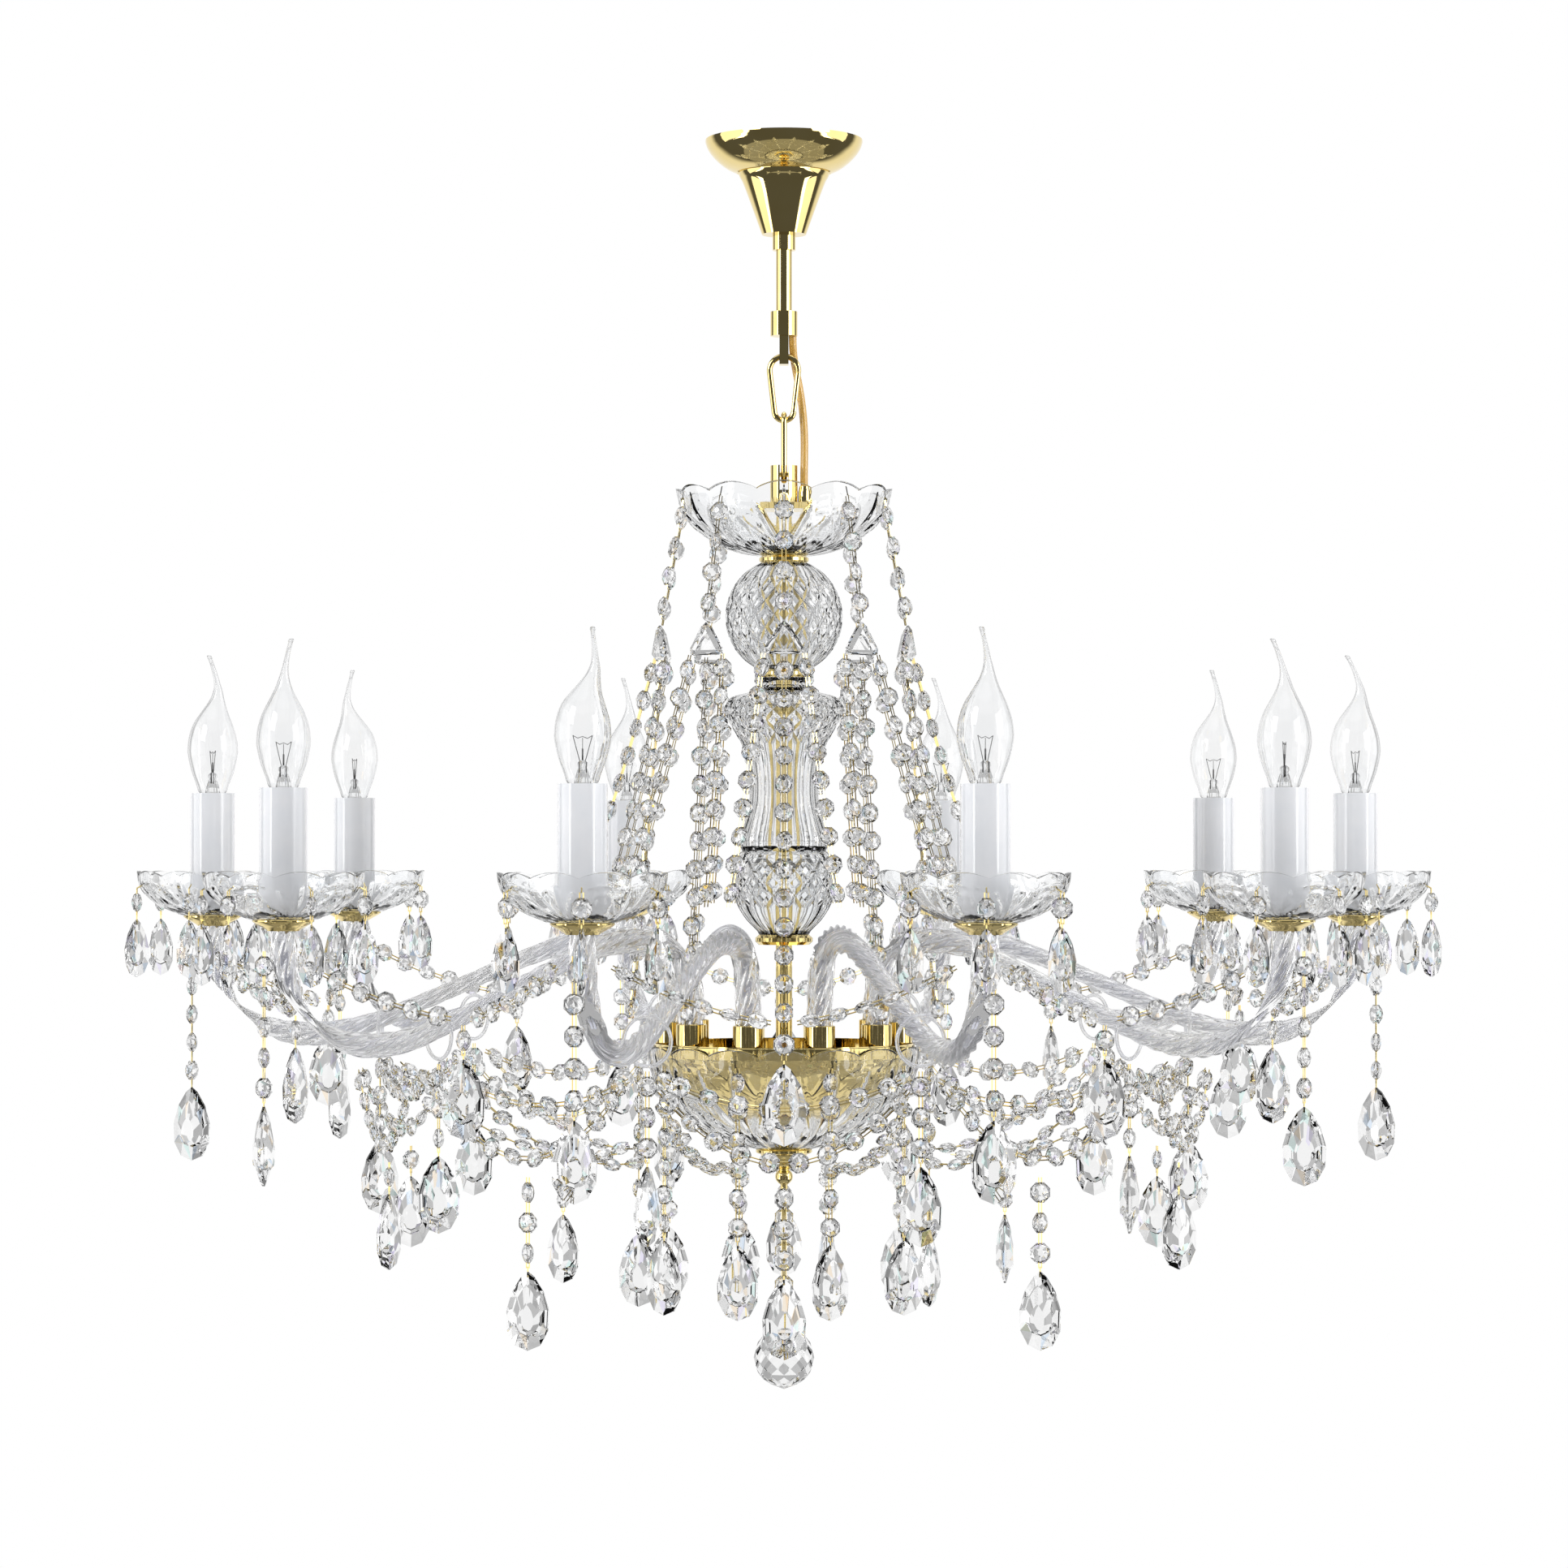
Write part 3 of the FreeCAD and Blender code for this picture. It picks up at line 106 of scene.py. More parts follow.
def camera():
    """Three metres off, a little below the fitting's middle, tilted up by a degree."""
    lens = bpy.data.cameras.new("camera")
    lens.lens = CAMERA_LENS
    lens.clip_end = 60
    view = placed("camera", lens)
    view.location = CAMERA_PLACE
    view.rotation_euler = (math.radians(TILT_FROM_DOWN), 0, 0)
    bpy.context.scene.camera = view


# ---- finishes


def worked_by(operation, swapped=False):
    """A method that adds one Math node to a signal and another value."""
    def method(signal, other=0.0):
        first, second = (other, signal) if swapped else (signal, other)
        return signal.maths(operation, first, second)
    return method


class Signal:
    """A socket in a node tree. Arithmetic on it adds Math nodes."""

    def __init__(self, tree, socket):
        self.tree = tree
        self.socket = socket

    def maths(self, operation, first, second):
        node = self.tree.nodes.new("ShaderNodeMath")
        node.operation = operation
        for socket, value in zip(node.inputs, (first, second)):
            if isinstance(value, Signal):
                self.tree.links.new(value.socket, socket)
            else:
                socket.default_value = value
        return Signal(self.tree, node.outputs[0])

    __add__ = __radd__ = worked_by("ADD")
    __rsub__ = worked_by("SUBTRACT", swapped=True)
    __mul__ = __rmul__ = worked_by("MULTIPLY")
    __gt__ = worked_by("GREATER_THAN")
    __lt__ = worked_by("LESS_THAN")
    __abs__ = worked_by("ABSOLUTE")
    larger = worked_by("MAXIMUM")
    smaller = worked_by("MINIMUM")


class Finish:
    """A node tree with one way of adding nodes to it."""

    def __init__(self, owner):
        owner.use_nodes = True
        self.owner = owner
        self.tree = owner.node_tree

    def feed(self, socket, value):
        if isinstance(value, Signal):
            self.tree.links.new(value.socket, socket)
        else:
            socket.default_value = value

    def node(self, kind, settings=None, values=None, output=0):
        """Add a node: its settings first, then the values or links of its sockets."""
        node = self.tree.nodes.new("ShaderNode" + kind)
        for name, value in (settings or {}).items():
            if name == "stops":
                while len(node.color_ramp.elements) < len(value):
                    node.color_ramp.elements.new(1.0)
                for element, (place, colour) in zip(node.color_ramp.elements, value):
                    element.position = place
                    element.color = colour
            else:
                setattr(node, name, value)
        for socket, value in (values or {}).items():
            self.feed(node.inputs[socket], value)
        return Signal(self.tree, node.outputs[output])

    def shade(self, socket, value):
        self.feed(self.shader.inputs[socket], value)

    def ramp(self, amount, *stops):
        """Colour the shader along a ramp of (place, colour) stops."""
        self.shade("Base Color", self.node("ValToRGB", {"stops": stops}, {"Fac": amount}))

    def noise(self, scale, detail=2.0):
        place = self.node("TexCoord", output=3)
        return self.node("TexNoise", None, {"Vector": place, "Scale": scale, "Detail": detail})


def surface(name, **sockets):
    """The finish of a new material with constant values on its shader."""
    finish = Finish(bpy.data.materials.new(name))
    finish.shader = finish.tree.nodes["Principled BSDF"]
    for socket, value in sockets.items():
        finish.shader.inputs[socket.replace("_", " ")].default_value = value
    return finish


def bumpy(finish, height, distance, strength):
    values = {"Height": height, "Distance": distance, "Strength": strength}
    finish.shade("Normal", finish.node("Bump", None, values))


def grey(level):
    return (level, level, level, 1)


def polished_gold():
    """Bright plated brass, with a faint haze where hands have been."""
    finish = surface("polished_gold", Metallic=1.0)
    haze = finish.noise(38.0, 3.0)
    finish.ramp(haze, (0.3, (0.80, 0.63, 0.25, 1)), (0.7, (0.86, 0.70, 0.32, 1)))
    finish.shade("Roughness", 0.03 + haze * 0.04)
    return finish.owner


def zinc():
    finish = surface("zinc_plate", Metallic=1.0)
    spangle = finish.noise(160.0, 2.0)
    finish.ramp(spangle, (0.3, grey(0.42)), (0.7, grey(0.62)))
    finish.shade("Roughness", 0.28 + spangle * 0.2)
    return finish.owner


def clear_glass(name, tint, ripple, bend, clarity=1.0):
    """Pressed glass with the faint ripple of a moulded surface; a clarity under 1 makes it milky."""
    finish = surface(name, Roughness=0.0, IOR=bend, Transmission_Weight=clarity)
    finish.ramp(finish.noise(18.0, 1.0), (0.35, tint), (0.65, grey(0.995)))
    bumpy(finish, finish.noise(90.0, 1.0), 0.0003, ripple)
    return finish.owner


def crystal():
    """Faceted crystal: each facet has its own faint tint, and a few carry a painted coloured glint, the
    crystal's fire painted into their base colour.
    """
    finish = surface("crystal", Roughness=0.0, IOR=1.60, Transmission_Weight=1.0)
    # Base colour from the facet attribute: a random faint tint on each facet, and painted coloured glints on
    # a few.
    finish.shade("Base Color", finish.node("Attribute", {"attribute_name": "fire"}))
    return finish.owner


def thin_glass():
    """Blown bulb glass, almost invisible but for its edges."""
    finish = surface("bulb_glass", Roughness=0.0, IOR=1.46, Transmission_Weight=1.0)
    finish.ramp(finish.noise(30.0, 1.0), (0.3, (0.97, 0.975, 0.98, 1)), (0.7, grey(1)))
    return finish.owner


def plastic(name, dark, pale, roughness, coat=0.0):
    finish = surface(name, Coat_Weight=coat, Coat_Roughness=0.06)
    mottle = finish.noise(60.0, 2.0)
    finish.ramp(mottle, (0.3, dark), (0.7, pale))
    finish.shade("Roughness", roughness + mottle * 0.06)
    bumpy(finish, finish.noise(220.0, 1.0), 0.0002, 0.08)
    return finish.owner


def amber_sheath():
    """Clear amber cable sheath over twisted copper strands."""
    finish = surface("amber_cable", IOR=1.5, Coat_Weight=0.6, Coat_Roughness=0.05)
    lay = finish.node("TexCoord", output=2)
    strands = finish.node("TexWave", {"bands_direction": "DIAGONAL"},
                          {"Vector": lay, "Scale": 14.0, "Distortion": 0.4})
    finish.ramp(strands, (0.1, (0.55, 0.26, 0.03, 1)), (0.8, (0.93, 0.62, 0.18, 1)))
    finish.shade("Roughness", 0.16 + strands * 0.1)
    return finish.owner


def tungsten():
    finish = surface("tungsten", Metallic=1.0)
    finish.ramp(finish.noise(300.0, 1.0), (0.3, grey(0.12)), (0.7, grey(0.3)))
    finish.shade("Roughness", 0.3 + finish.noise(200.0) * 0.1)
    return finish.owner


GOLD = polished_gold()
ZINC = zinc()
CUT_GLASS = clear_glass("cut_glass", (0.955, 0.965, 0.975, 1), 0.02, 1.52)
ROPE_GLASS = clear_glass("rope_glass", (0.945, 0.95, 0.985, 1), 0.02, 1.45, 0.82)
CRYSTAL = crystal()
BULB_GLASS = thin_glass()
CANDLE = plastic("candle_white", (0.86, 0.88, 0.92, 1), (0.90, 0.91, 0.94, 1), 0.14, 1.0)
HOLDER = plastic("holder_plastic", grey(0.70), grey(0.76), 0.42)
WIRE_SHEATH = plastic("arm_wire", (0.76, 0.77, 0.88, 1), (0.82, 0.83, 0.92, 1), 0.3)
AMBER = amber_sheath()
TUNGSTEN = tungsten()

# ---- modelling tools


def face_out(bm):
    bmesh.ops.recalc_face_normals(bm, faces=bm.faces[:])


def finished(name, bm, material, body, node=None, smooth=True, turn=True):
    """Make a bmesh into a piece that rides on a body and stands for a node."""
    for face in bm.faces:
        face.smooth = smooth
    mesh = as_mesh(bm, name, turn)
    mesh.materials.append(material)
    piece = placed(name, mesh)
    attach(piece, body)
    if node:
        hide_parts(node)
    return piece


def crease(piece, degrees=30.0):
    """Keep edges sharper than an angle crisp on a smooth piece."""
    mesh = piece.data
    bm = bmesh.new()
    bm.from_mesh(mesh)
    limit = math.radians(degrees)
    for edge in bm.edges:
        if len(edge.link_faces) == 2 and edge.calc_face_angle(0) > limit:
            edge.smooth = False
    bm.to_mesh(mesh)
    bm.free()
    return piece


def between(a, b, c, d, share):
    """A value part of the way from b to c, on a smooth curve through a, b, c and d."""
    value = 2 * b + (c - a) * share
    value += (2 * a - 5 * b + 4 * c - d) * share ** 2
    value += (3 * b - a - 3 * c + d) * share ** 3
    return 0.5 * value


def eased(points, steps=5):
    """A smooth line through given points."""
    line = []
    last = len(points) - 1
    for number in range(last):
        near = [points[min(max(number + shift, 0), last)] for shift in (-1, 0, 1, 2)]
        for step in range(steps):
            line.append(tuple(between(*values, step / steps) for values in zip(*near)))
    line.append(tuple(points[-1]))
    return line


def raised(line, base):
    """A line of (radius, height) points, lifted by a height."""
    return [(radius, base + height) for radius, height in line]


def in_metres(line, base):
    """The same in metres, for a line in millimetres and a height in metres."""
    return [(radius * MM, base + height * MM) for radius, height in line]


def spin(bm, verts, steps, closed):
    ends = verts[1:] + verts[:1] if closed else verts[1:]
    edges = [bm.edges.new((start, end)) for start, end in zip(verts, ends)]
    bmesh.ops.spin(bm, geom=verts + edges, cent=(0, 0, 0), axis=UP, angle=FULL, steps=steps, use_merge=True)
    bmesh.ops.remove_doubles(bm, verts=bm.verts[:], dist=WELD)


def lathe(outline, steps, closed=False):
    """Turn a line of (radius, height) points round the Z axis."""
    bm = bmesh.new()
    spin(bm, [bm.verts.new((radius, 0, height)) for radius, height in outline], steps, closed)
    return bm


def copies(base, places):
    """One bmesh with a copy of a mesh at each place."""
    bm = bmesh.new()
    for place in places:
        copy = base.copy()
        copy.transform(place)
        bm.from_mesh(copy)
        bpy.data.meshes.remove(copy)
    return bm


def as_mesh(bm, name, turn=True):
    mesh = bpy.data.meshes.new(name)
    if turn:
        face_out(bm)
    bm.to_mesh(mesh)
    bm.free()
    return mesh


def around_stem(angle):
    """A turn about the stem that takes the front to an angle towards +X."""
    return Matrix.Rotation(math.radians(angle), 4, "Z")


def bar(start, end, radius):
    """The place of a unit bar that runs from one point to another."""
    run = end - start
    turn = run.to_track_quat("Z", "Y").to_matrix().to_4x4()
    return Matrix.Translation((start + end) / 2) @ turn @ Matrix.Diagonal((radius, radius, run.length, 1))


def unit_bar(sides):
    bm = bmesh.new()
    bmesh.ops.create_cone(bm, cap_ends=True, segments=sides, radius1=1, radius2=1, depth=1)
    return as_mesh(bm, "bar")


ARM_TURNS = [around_stem(angle) for angle in ARM_ANGLES]
CANDLE_PLACES = [Matrix.Translation(spot(angle, CANDLE_CIRCLE, 0)) for angle in ARM_ANGLES]


def smoothstep(value):
    value = min(max(value, 0.0), 1.0)
    return value * value * (3 - 2 * value)


# ---- gold pieces


def turned_gold(name, body, node, outline, closed=True, steps=72):
    """A turned piece from a line of radii in millimetres and heights in metres."""
    bm = lathe([(radius * MM, height) for radius, height in outline], steps, closed)
    return crease(finished(name, bm, GOLD, body, node))


def canopy():
    """The pressed cup with its rolled rim, and the cone that nests in its neck."""
    top = high("canopy_cup").z
    depth = top - low("canopy_cup").z
    cup = [(54.9, 0.0), (55.0, -0.06)]
    cup += eased([(54.6, -0.12), (53.4, -0.26), (50.6, -0.45), (45.5, -0.68), (39.5, -0.87), (33.0, -1.0)])
    outer = [(radius, top + drop * depth) for radius, drop in cup]
    inner = [(radius - 1.0, height + 0.9 * MM) for radius, height in reversed(outer[2:])]
    turned_gold("canopy_bowl", "canopy", "canopy_cup", outer + inner + [(53.4, top)])
    top = high("canopy_cone").z
    depth = top - low("canopy_cone").z
    cone = [(29.5, 0.0)] + eased([(31.0, -0.02), (31.6, -0.05), (31.6, -0.085), (30.8, -0.13), (28.4, -0.23),
                                  (21.7, -0.62), (15.4, -1.0)])
    outer = [(radius, top + drop * depth) for radius, drop in cone]
    foot = low("canopy_cone").z
    floor = [(5.8, foot), (5.8, foot + 1.0 * MM), (14.4, foot + 1.0 * MM)]
    inner = [(radius - 1.0, height) for radius, height in reversed(outer[:-2])]
    turned_gold("canopy_skirt", "canopy", "canopy_cone", outer + floor + inner)


def smoothed(nodes, material, body=STEM):
    """Smooth copies of turned and bent CAD pieces, crisp at their edges, in a finish."""
    for node in nodes:
        bm = bmesh.new()
        bm.from_mesh(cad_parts[node].data)
        bmesh.ops.remove_doubles(bm, verts=bm.verts[:], dist=WELD)
        crease(finished(node + "_finished", bm, material, body, node, turn=False))


def finial():
    top = high("finial").z
    points = [(0, 0), (18.6, 0), (19.6, -0.9), (19.6, -2.6), (18.4, -3.4), (16.6, -3.8), (15.6, -5.4),
              (11.5, -9), (7.2, -12.4), (4.2, -14.2), (3.9, -15.2), (5.2, -16.4), (6.1, -18.8),
              (5.8, -21.6), (4.2, -23.8), (2.6, -25.2), (2.4, -26.4), (2.9, -28.4), (2.4, -31.4),
              (1, -33.6), (0, -34)]
    line = points[:5] + eased(points[5:], 4)
    outline = [(radius, top + drop * MM) for radius, drop in line]
    turned_gold("finial_turned", STEM, "finial", outline, closed=False, steps=48)


def hub_bowl():
    """The polished bowl: a rolled rim band over a tapering body."""
    top = high("hub_bowl").z
    floor = low("hub_bowl").z
    curve = [(90.6, 0), (91, -0.5), (91, -8), (90.4, -8.8)]
    curve += eased([(89.6, -9.8), (84.6, -18), (67.3, -34), (41.9, -47.7), (18.2, -53)])
    outer = [(radius, top + drop * MM) for radius, drop in curve]
    inner = [(radius - 1.0, height + 0.9 * MM) for radius, height in reversed(outer[1:])]
    hole = [(5.8, floor), (5.8, floor + 1.0 * MM)]
    turned_gold("hub_pressed", STEM, "hub_bowl", outer + hole + inner + [(89.8, top)], steps=96)


def arm_sockets():
    """Plain turned sockets with an eased lip."""
    foot = low("arm_sockets").z
    top = high("arm_sockets").z
    radius = SOCKET_RADIUS
    curve = [(radius, foot), (radius, top - 0.5 * MM), (radius - 0.5 * MM, top), (radius - 1.6 * MM, top),
             (radius - 1.7 * MM, top - 0.4 * MM), (radius - 1.7 * MM, foot)]
    base = as_mesh(lathe(curve, 40, True), "socket")
    places = [Matrix.Translation(spot(angle, SOCKET_CIRCLE, 0)) for angle in ARM_ANGLES]
    crease(finished("socket_ring", copies(base, places), GOLD, STEM, "arm_sockets"))


def pan_plates():
    """The shallow gold bowl under each drip pan, with its rolled edge, closed round the arm's end."""
    top = high("pan_plates").z
    rim = [(3.6, 0), (19.6, 0), (20, -0.4), (19.8, -1.2), (18.6, -2.2), (15, -4.2), (11.4, -6.2),
           (10.4, -7.2), (8.8, -7.2), (8.8, -4), (3.6, -4)]
    base = as_mesh(lathe(in_metres(rim, top), 48, True), "plate")
    crease(finished("pan_plate_set", copies(base, CANDLE_PLACES), GOLD, STEM, "pan_plates"))


def metal_and_plastic():
    canopy()
    finial()
    hub_bowl()
    arm_sockets()
    pan_plates()
    smoothed(["canopy_collar", "collar_screw"], GOLD, "canopy")
    smoothed(["down_rod", "rod_coupling"], GOLD, "ceiling_fixing")
    smoothed(["snap_hook", "gate_pin"], GOLD, "hook")
    smoothed(["hook_gate"], GOLD, "gate")
    smoothed(["chain_link", "hanger_yoke", "yoke_pin", "cable_gland"], GOLD)
    smoothed(["centre_tube", "stem_collars", "hub_plate"], GOLD)
    smoothed(["ceiling_bracket", "rod_nut"], ZINC, "ceiling_fixing")
    smoothed(["terminal_block"], HOLDER, "ceiling_fixing")
    smoothed(["lampholders"], HOLDER, STEM)
    smoothed(["candle_sleeves"], CANDLE, STEM)
    smoothed(["swag_rings"], ROPE_GLASS, STEM)
    smoothed(["ball_wire"], GOLD, "ball_drop")


# ---- supply cable

# Each point is (x and y in millimetres, share of the way down).
CABLE_ROUTE = [(6.1, 2.4, 0), (6.1, 2.4, 0.06), (6.9, 4.6, 0.145), (8.6, 6.6, 0.235), (10.8, 7.6, 0.34),
               (12.6, 7.4, 0.45), (13.8, 6, 0.57), (14.3, 3.8, 0.69), (14.2, 1.4, 0.81), (14, 0, 0.91),
               (14, 0, 1)]
CABLE_RADIUS = 2.7 * MM


def nurbs(name, points, resolution):
    """An open smooth line with given control points."""
    line = bpy.data.curves.new(name, "CURVE")
    line.dimensions = "3D"
    spline = line.splines.new("NURBS")
    spline.points.add(len(points) - 1)
    for control, point in zip(spline.points, points):
        control.co = (*point, 1)
    spline.order_u = 3
    spline.use_endpoint_u = True
    spline.resolution_u = resolution
    return bpy.data.objects.new(name, line)


def line_points(holder):
    """The points that a line with no thickness runs through."""
    mesh = bpy.data.meshes.new_from_object(holder)
    points = [vert.co.copy() for vert in mesh.vertices]
    bpy.data.meshes.remove(mesh)
    return points


def supply_cable():
    """The amber lead, in two stretches that meet half way down the snap hook."""
    top = high("supply_cable_upper").z
    drop = top - low("supply_cable_lower").z
    points = [Vector((x * MM, y * MM, top - share * drop)) for x, y, share in CABLE_ROUTE]
    middle = (points[5] + points[6]) / 2
    stretches = [
        ("cable_upper", "supply_cable_upper", points[:6] + [middle], 0.055,
         ("ceiling_fixing", "hook"), (-0.139, -0.172)),
        ("cable_lower", "supply_cable_lower", [middle] + points[6:], 0.051,
         ("hook", STEM), (-0.198, -0.232)),
    ]
    for name, node, route, length, bodies, heights in stretches:
        holder = nurbs(name, route, 12)
        path = line_points(holder)
        holder.data.bevel_depth = CABLE_RADIUS
        holder.data.bevel_resolution = 6
        holder.data.use_fill_caps = True
        tube = bpy.data.meshes.new_from_object(holder)
        bpy.data.objects.remove(holder)
        tube.materials.clear()
        tube.materials.append(AMBER)
        cable = placed(name, tube)
        start, end = (Vector((10 * MM, 5 * MM, height)) for height in heights)
        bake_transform(cable, *bodies, start=start, end=end)
        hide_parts(node)


# ---- cut glass dishes and stem


LEAF_STEP = 21
WIDEST_LEAF = 84
LEAF_CUT = 2.6
BRICK_COURSE = 7
BRICK_HALF = 5
BRICK_CUT = 1.2
PETAL_CUT = 1.6


def groove(gap, width):
    """How deep a V-shaped cut is, 0 to 1, a distance from its middle."""
    return max(0.0, 1 - abs(gap) / max(width, 0.01))


def leaf_fan(across, up, reach):
    """Pointed leaf cuts that spread like a fan from one point."""
    away = math.hypot(across, up)
    lean = math.degrees(math.atan2(across, up))
    if away > reach or abs(lean) > WIDEST_LEAF:
        return 0.0
    leaf = round(lean / LEAF_STEP) * LEAF_STEP
    width = LEAF_CUT * math.sin(math.pi * away / reach) ** 0.6
    return groove(away * math.sin(math.radians(lean - leaf)), width)


def brick_cuts(across, along):
    """Flat cuts stacked like bricks in the band between two fans."""
    course = round(along / BRICK_COURSE)
    level = groove(along - course * BRICK_COURSE, BRICK_CUT)
    return max(level, groove(across - BRICK_HALF * (-1) ** course, BRICK_CUT)) * 0.7


def dish(outline, wall, petals, lift, foot_at, depth, steps, fan_turn=0.0):
    """A scalloped dish: smooth inside; outside a fan of leaf cuts on every other petal and bricks between.

    The outline runs from the rim to the foot as (radius, height) in millimetres."""
    outer = eased(outline, 5)
    rim, foot = outer[0], outer[-1]
    inner = [(radius - wall * (0.35 + 0.65 * radius / rim[0]), height + wall * (1 - 0.9 * radius / rim[0]))
             for radius, height in reversed(outer)]
    inner[0] = (foot[0], foot[1] + wall)
    inner[-1] = (rim[0] - wall * 0.55, rim[1])
    steps_along = [math.dist(before, after) for before, after in zip(outer, outer[1:])]
    length = sum(steps_along)
    loop = outer + inner
    bm = bmesh.new()
    mark = bm.verts.layers.float.new("along")
    verts = []
    for number, (radius, height) in enumerate(loop):
        vert = bm.verts.new((radius * MM, 0, height * MM))
        vert[mark] = length - sum(steps_along[:number]) if 0 < number < len(outer) - 2 else 0.0
        verts.append(vert)
    spin(bm, verts, steps, True)
    for vert in bm.verts:
        radius = math.hypot(vert.co.x, vert.co.y) / MM
        turn = math.atan2(vert.co.x, -vert.co.y) / FULL
        phase = ((turn * petals + 0.5) % 1.0 - 0.5) * 2
        rise = (vert.co.z / MM - foot[1]) / (rim[1] - foot[1])
        petal = math.cos(phase * math.pi / 2) ** 0.8
        edge = smoothstep((radius / rim[0] - 0.72) / 0.28) * smoothstep(rise * 1.4 - 0.2)
        vert.co.z += edge * lift * MM * (petal - 1.0)
        push = 1 - 0.02 * edge * (1 - petal)
        if vert[mark] > 0:
            pair = ((turn * petals / 2 + fan_turn + 0.5) % 1.0 - 0.5) * 2 * FULL / petals * radius
            half = FULL / petals * radius
            fade = smoothstep(vert[mark] / 12) * smoothstep((1.0 - rise) / 0.2)
            along = vert[mark] - foot_at
            cut = leaf_fan(pair, along, length - foot_at - 6)
            if abs(pair) > half * 0.62:
                cut = max(cut, brick_cuts(abs(pair) - half, along) * smoothstep((1 - rise) / 0.5))
            if along < 0:
                cut = max(cut, groove(phase * half / 2, PETAL_CUT))
            push -= depth / radius * fade * cut
        vert.co.x *= push
        vert.co.y *= push
    bm.verts.layers.float.remove(mark)
    return bm


def glass_dish(name, bm, node):
    crease(finished(name, bm, CUT_GLASS, STEM, node), 40)


def top_dish():
    line = [(75.6, 47), (74.2, 40), (71, 30), (62, 18.5), (49, 9), (34, 3), (18, 0), (6.2, 0)]
    line = raised(line, low("top_dish").z / MM)
    glass_dish("top_dish_cut", dish(line, 4.0, 12, 5.5, 30, 2.2, 432), "top_dish")


def bottom_dish():
    line = [(96, 72), (95.2, 64), (93, 54), (85, 37), (70, 21), (50, 8.5), (24, 0.6), (6.2, 0)]
    line = raised(line, low("bottom_dish").z / MM)
    glass_dish("bottom_dish_cut", dish(line, 3.4, 16, 5.0, 46, 1.9, 480, 0.5), "bottom_dish")


def drip_pans():
    """Ten scalloped pans, in two pieces of five."""
    line = [(52.3, 31), (51.8, 26), (50, 20), (44, 12), (35, 5.5), (24, 1), (19, 0), (5, 0)]
    line = raised(line, low("drip_pans").z / MM)
    base = as_mesh(dish(line, 3.0, 10, 4.0, 20, 1.6, 190), "pan")
    places = [place @ turn for place, turn in zip(CANDLE_PLACES, ARM_TURNS)]
    glass_dish("drip_pans_right", copies(base, places[:5]), "drip_pans")
    glass_dish("drip_pans_left", copies(base, places[5:]), None)


def diamonds(bm, quads):
    """Turn a grid of four-sided faces into diamonds that stand on their corners."""
    lines = {edge for quad in quads for edge in quad.edges if len(edge.link_faces) == 2}
    inside = [edge for edge in lines if all(face in quads for face in edge.link_faces)]
    bmesh.ops.poke(bm, faces=list(quads))
    bmesh.ops.dissolve_edges(bm, edges=inside, use_verts=False)


def joined(shells, name):
    """One mesh of an outer shell and the hollows inside it, whose faces are turned to look in."""
    whole = bmesh.new()
    for number, shell in enumerate(shells):
        face_out(shell)
        if number:
            bmesh.ops.reverse_faces(shell, faces=shell.faces[:])
        whole.from_mesh(as_mesh(shell, name, False))
    return whole


def width_at(line, height):
    """The radius of a falling line of (radius, height) points at a height."""
    for (start, high_end), (end, low_end) in zip(line, line[1:]):
        if low_end <= height <= high_end:
            return start + (end - start) * (high_end - height) / max(high_end - low_end, 1e-6)
    return line[-1][0]


def cut_body(name, node, line, lattice, around, wall, depth):
    """A hollow glass body cut with a diamond lattice between two heights, and fluted above and below it.

    line is (radius, height) in millimetres from the top; lattice is (top, bottom, rows). The mesh has four
    columns and four rows to a diamond, so every cut lies along its edges."""
    smooth = eased(line, 4)
    high_cut, low_cut, rows = lattice
    quarter = (high_cut - low_cut) / rows / 4
    heights = [height for _, height in smooth if height > high_cut + 1.2]
    heights += [high_cut - quarter * number for number in range(rows * 4 + 1)]
    heights += [height for _, height in smooth if height < low_cut - 1.2]
    shape = [(0.0, heights[0] * MM)] + [(width_at(smooth, height) * MM, height * MM) for height in heights]
    bm = lathe(shape + [(0.0, heights[-1] * MM)], around * 4)
    cuts = []
    beside = []
    for vert in bm.verts:
        radius = math.hypot(vert.co.x, vert.co.y) / MM
        height = vert.co.z / MM
        if radius < 8 or not heights[-1] + 0.5 < height < heights[0] - 0.5:
            continue
        column = round(math.atan2(vert.co.x, -vert.co.y) / FULL * around * 4)
        if low_cut - 0.1 < height < high_cut + 0.1:
            row = round((high_cut - height) / quarter)
            cut = float((column + row) % 4 == 0 or (column - row) % 4 == 0)
            if cut:
                cuts.append(vert)
            elif (column + row) % 2:
                beside.append(vert)
        else:
            cut = 0.8 if column % 4 == 0 else 0.0
        push = 1 - depth * cut / radius
        vert.co.x *= push
        vert.co.y *= push
    bmesh.ops.connect_verts(bm, verts=cuts)
    bmesh.ops.connect_verts(bm, verts=beside)
    hollow = [(max(radius - wall, 7.0) * MM, height * MM) for radius, height in eased(line, 3)[2:-2]]
    hollow = [(0, hollow[0][1])] + hollow + [(0, hollow[-1][1])]
    whole = joined([bm, lathe(hollow, 60)], name)
    return crease(finished(name, whole, CUT_GLASS, STEM, node, turn=False), 8)


BALL_RADIUS = 41


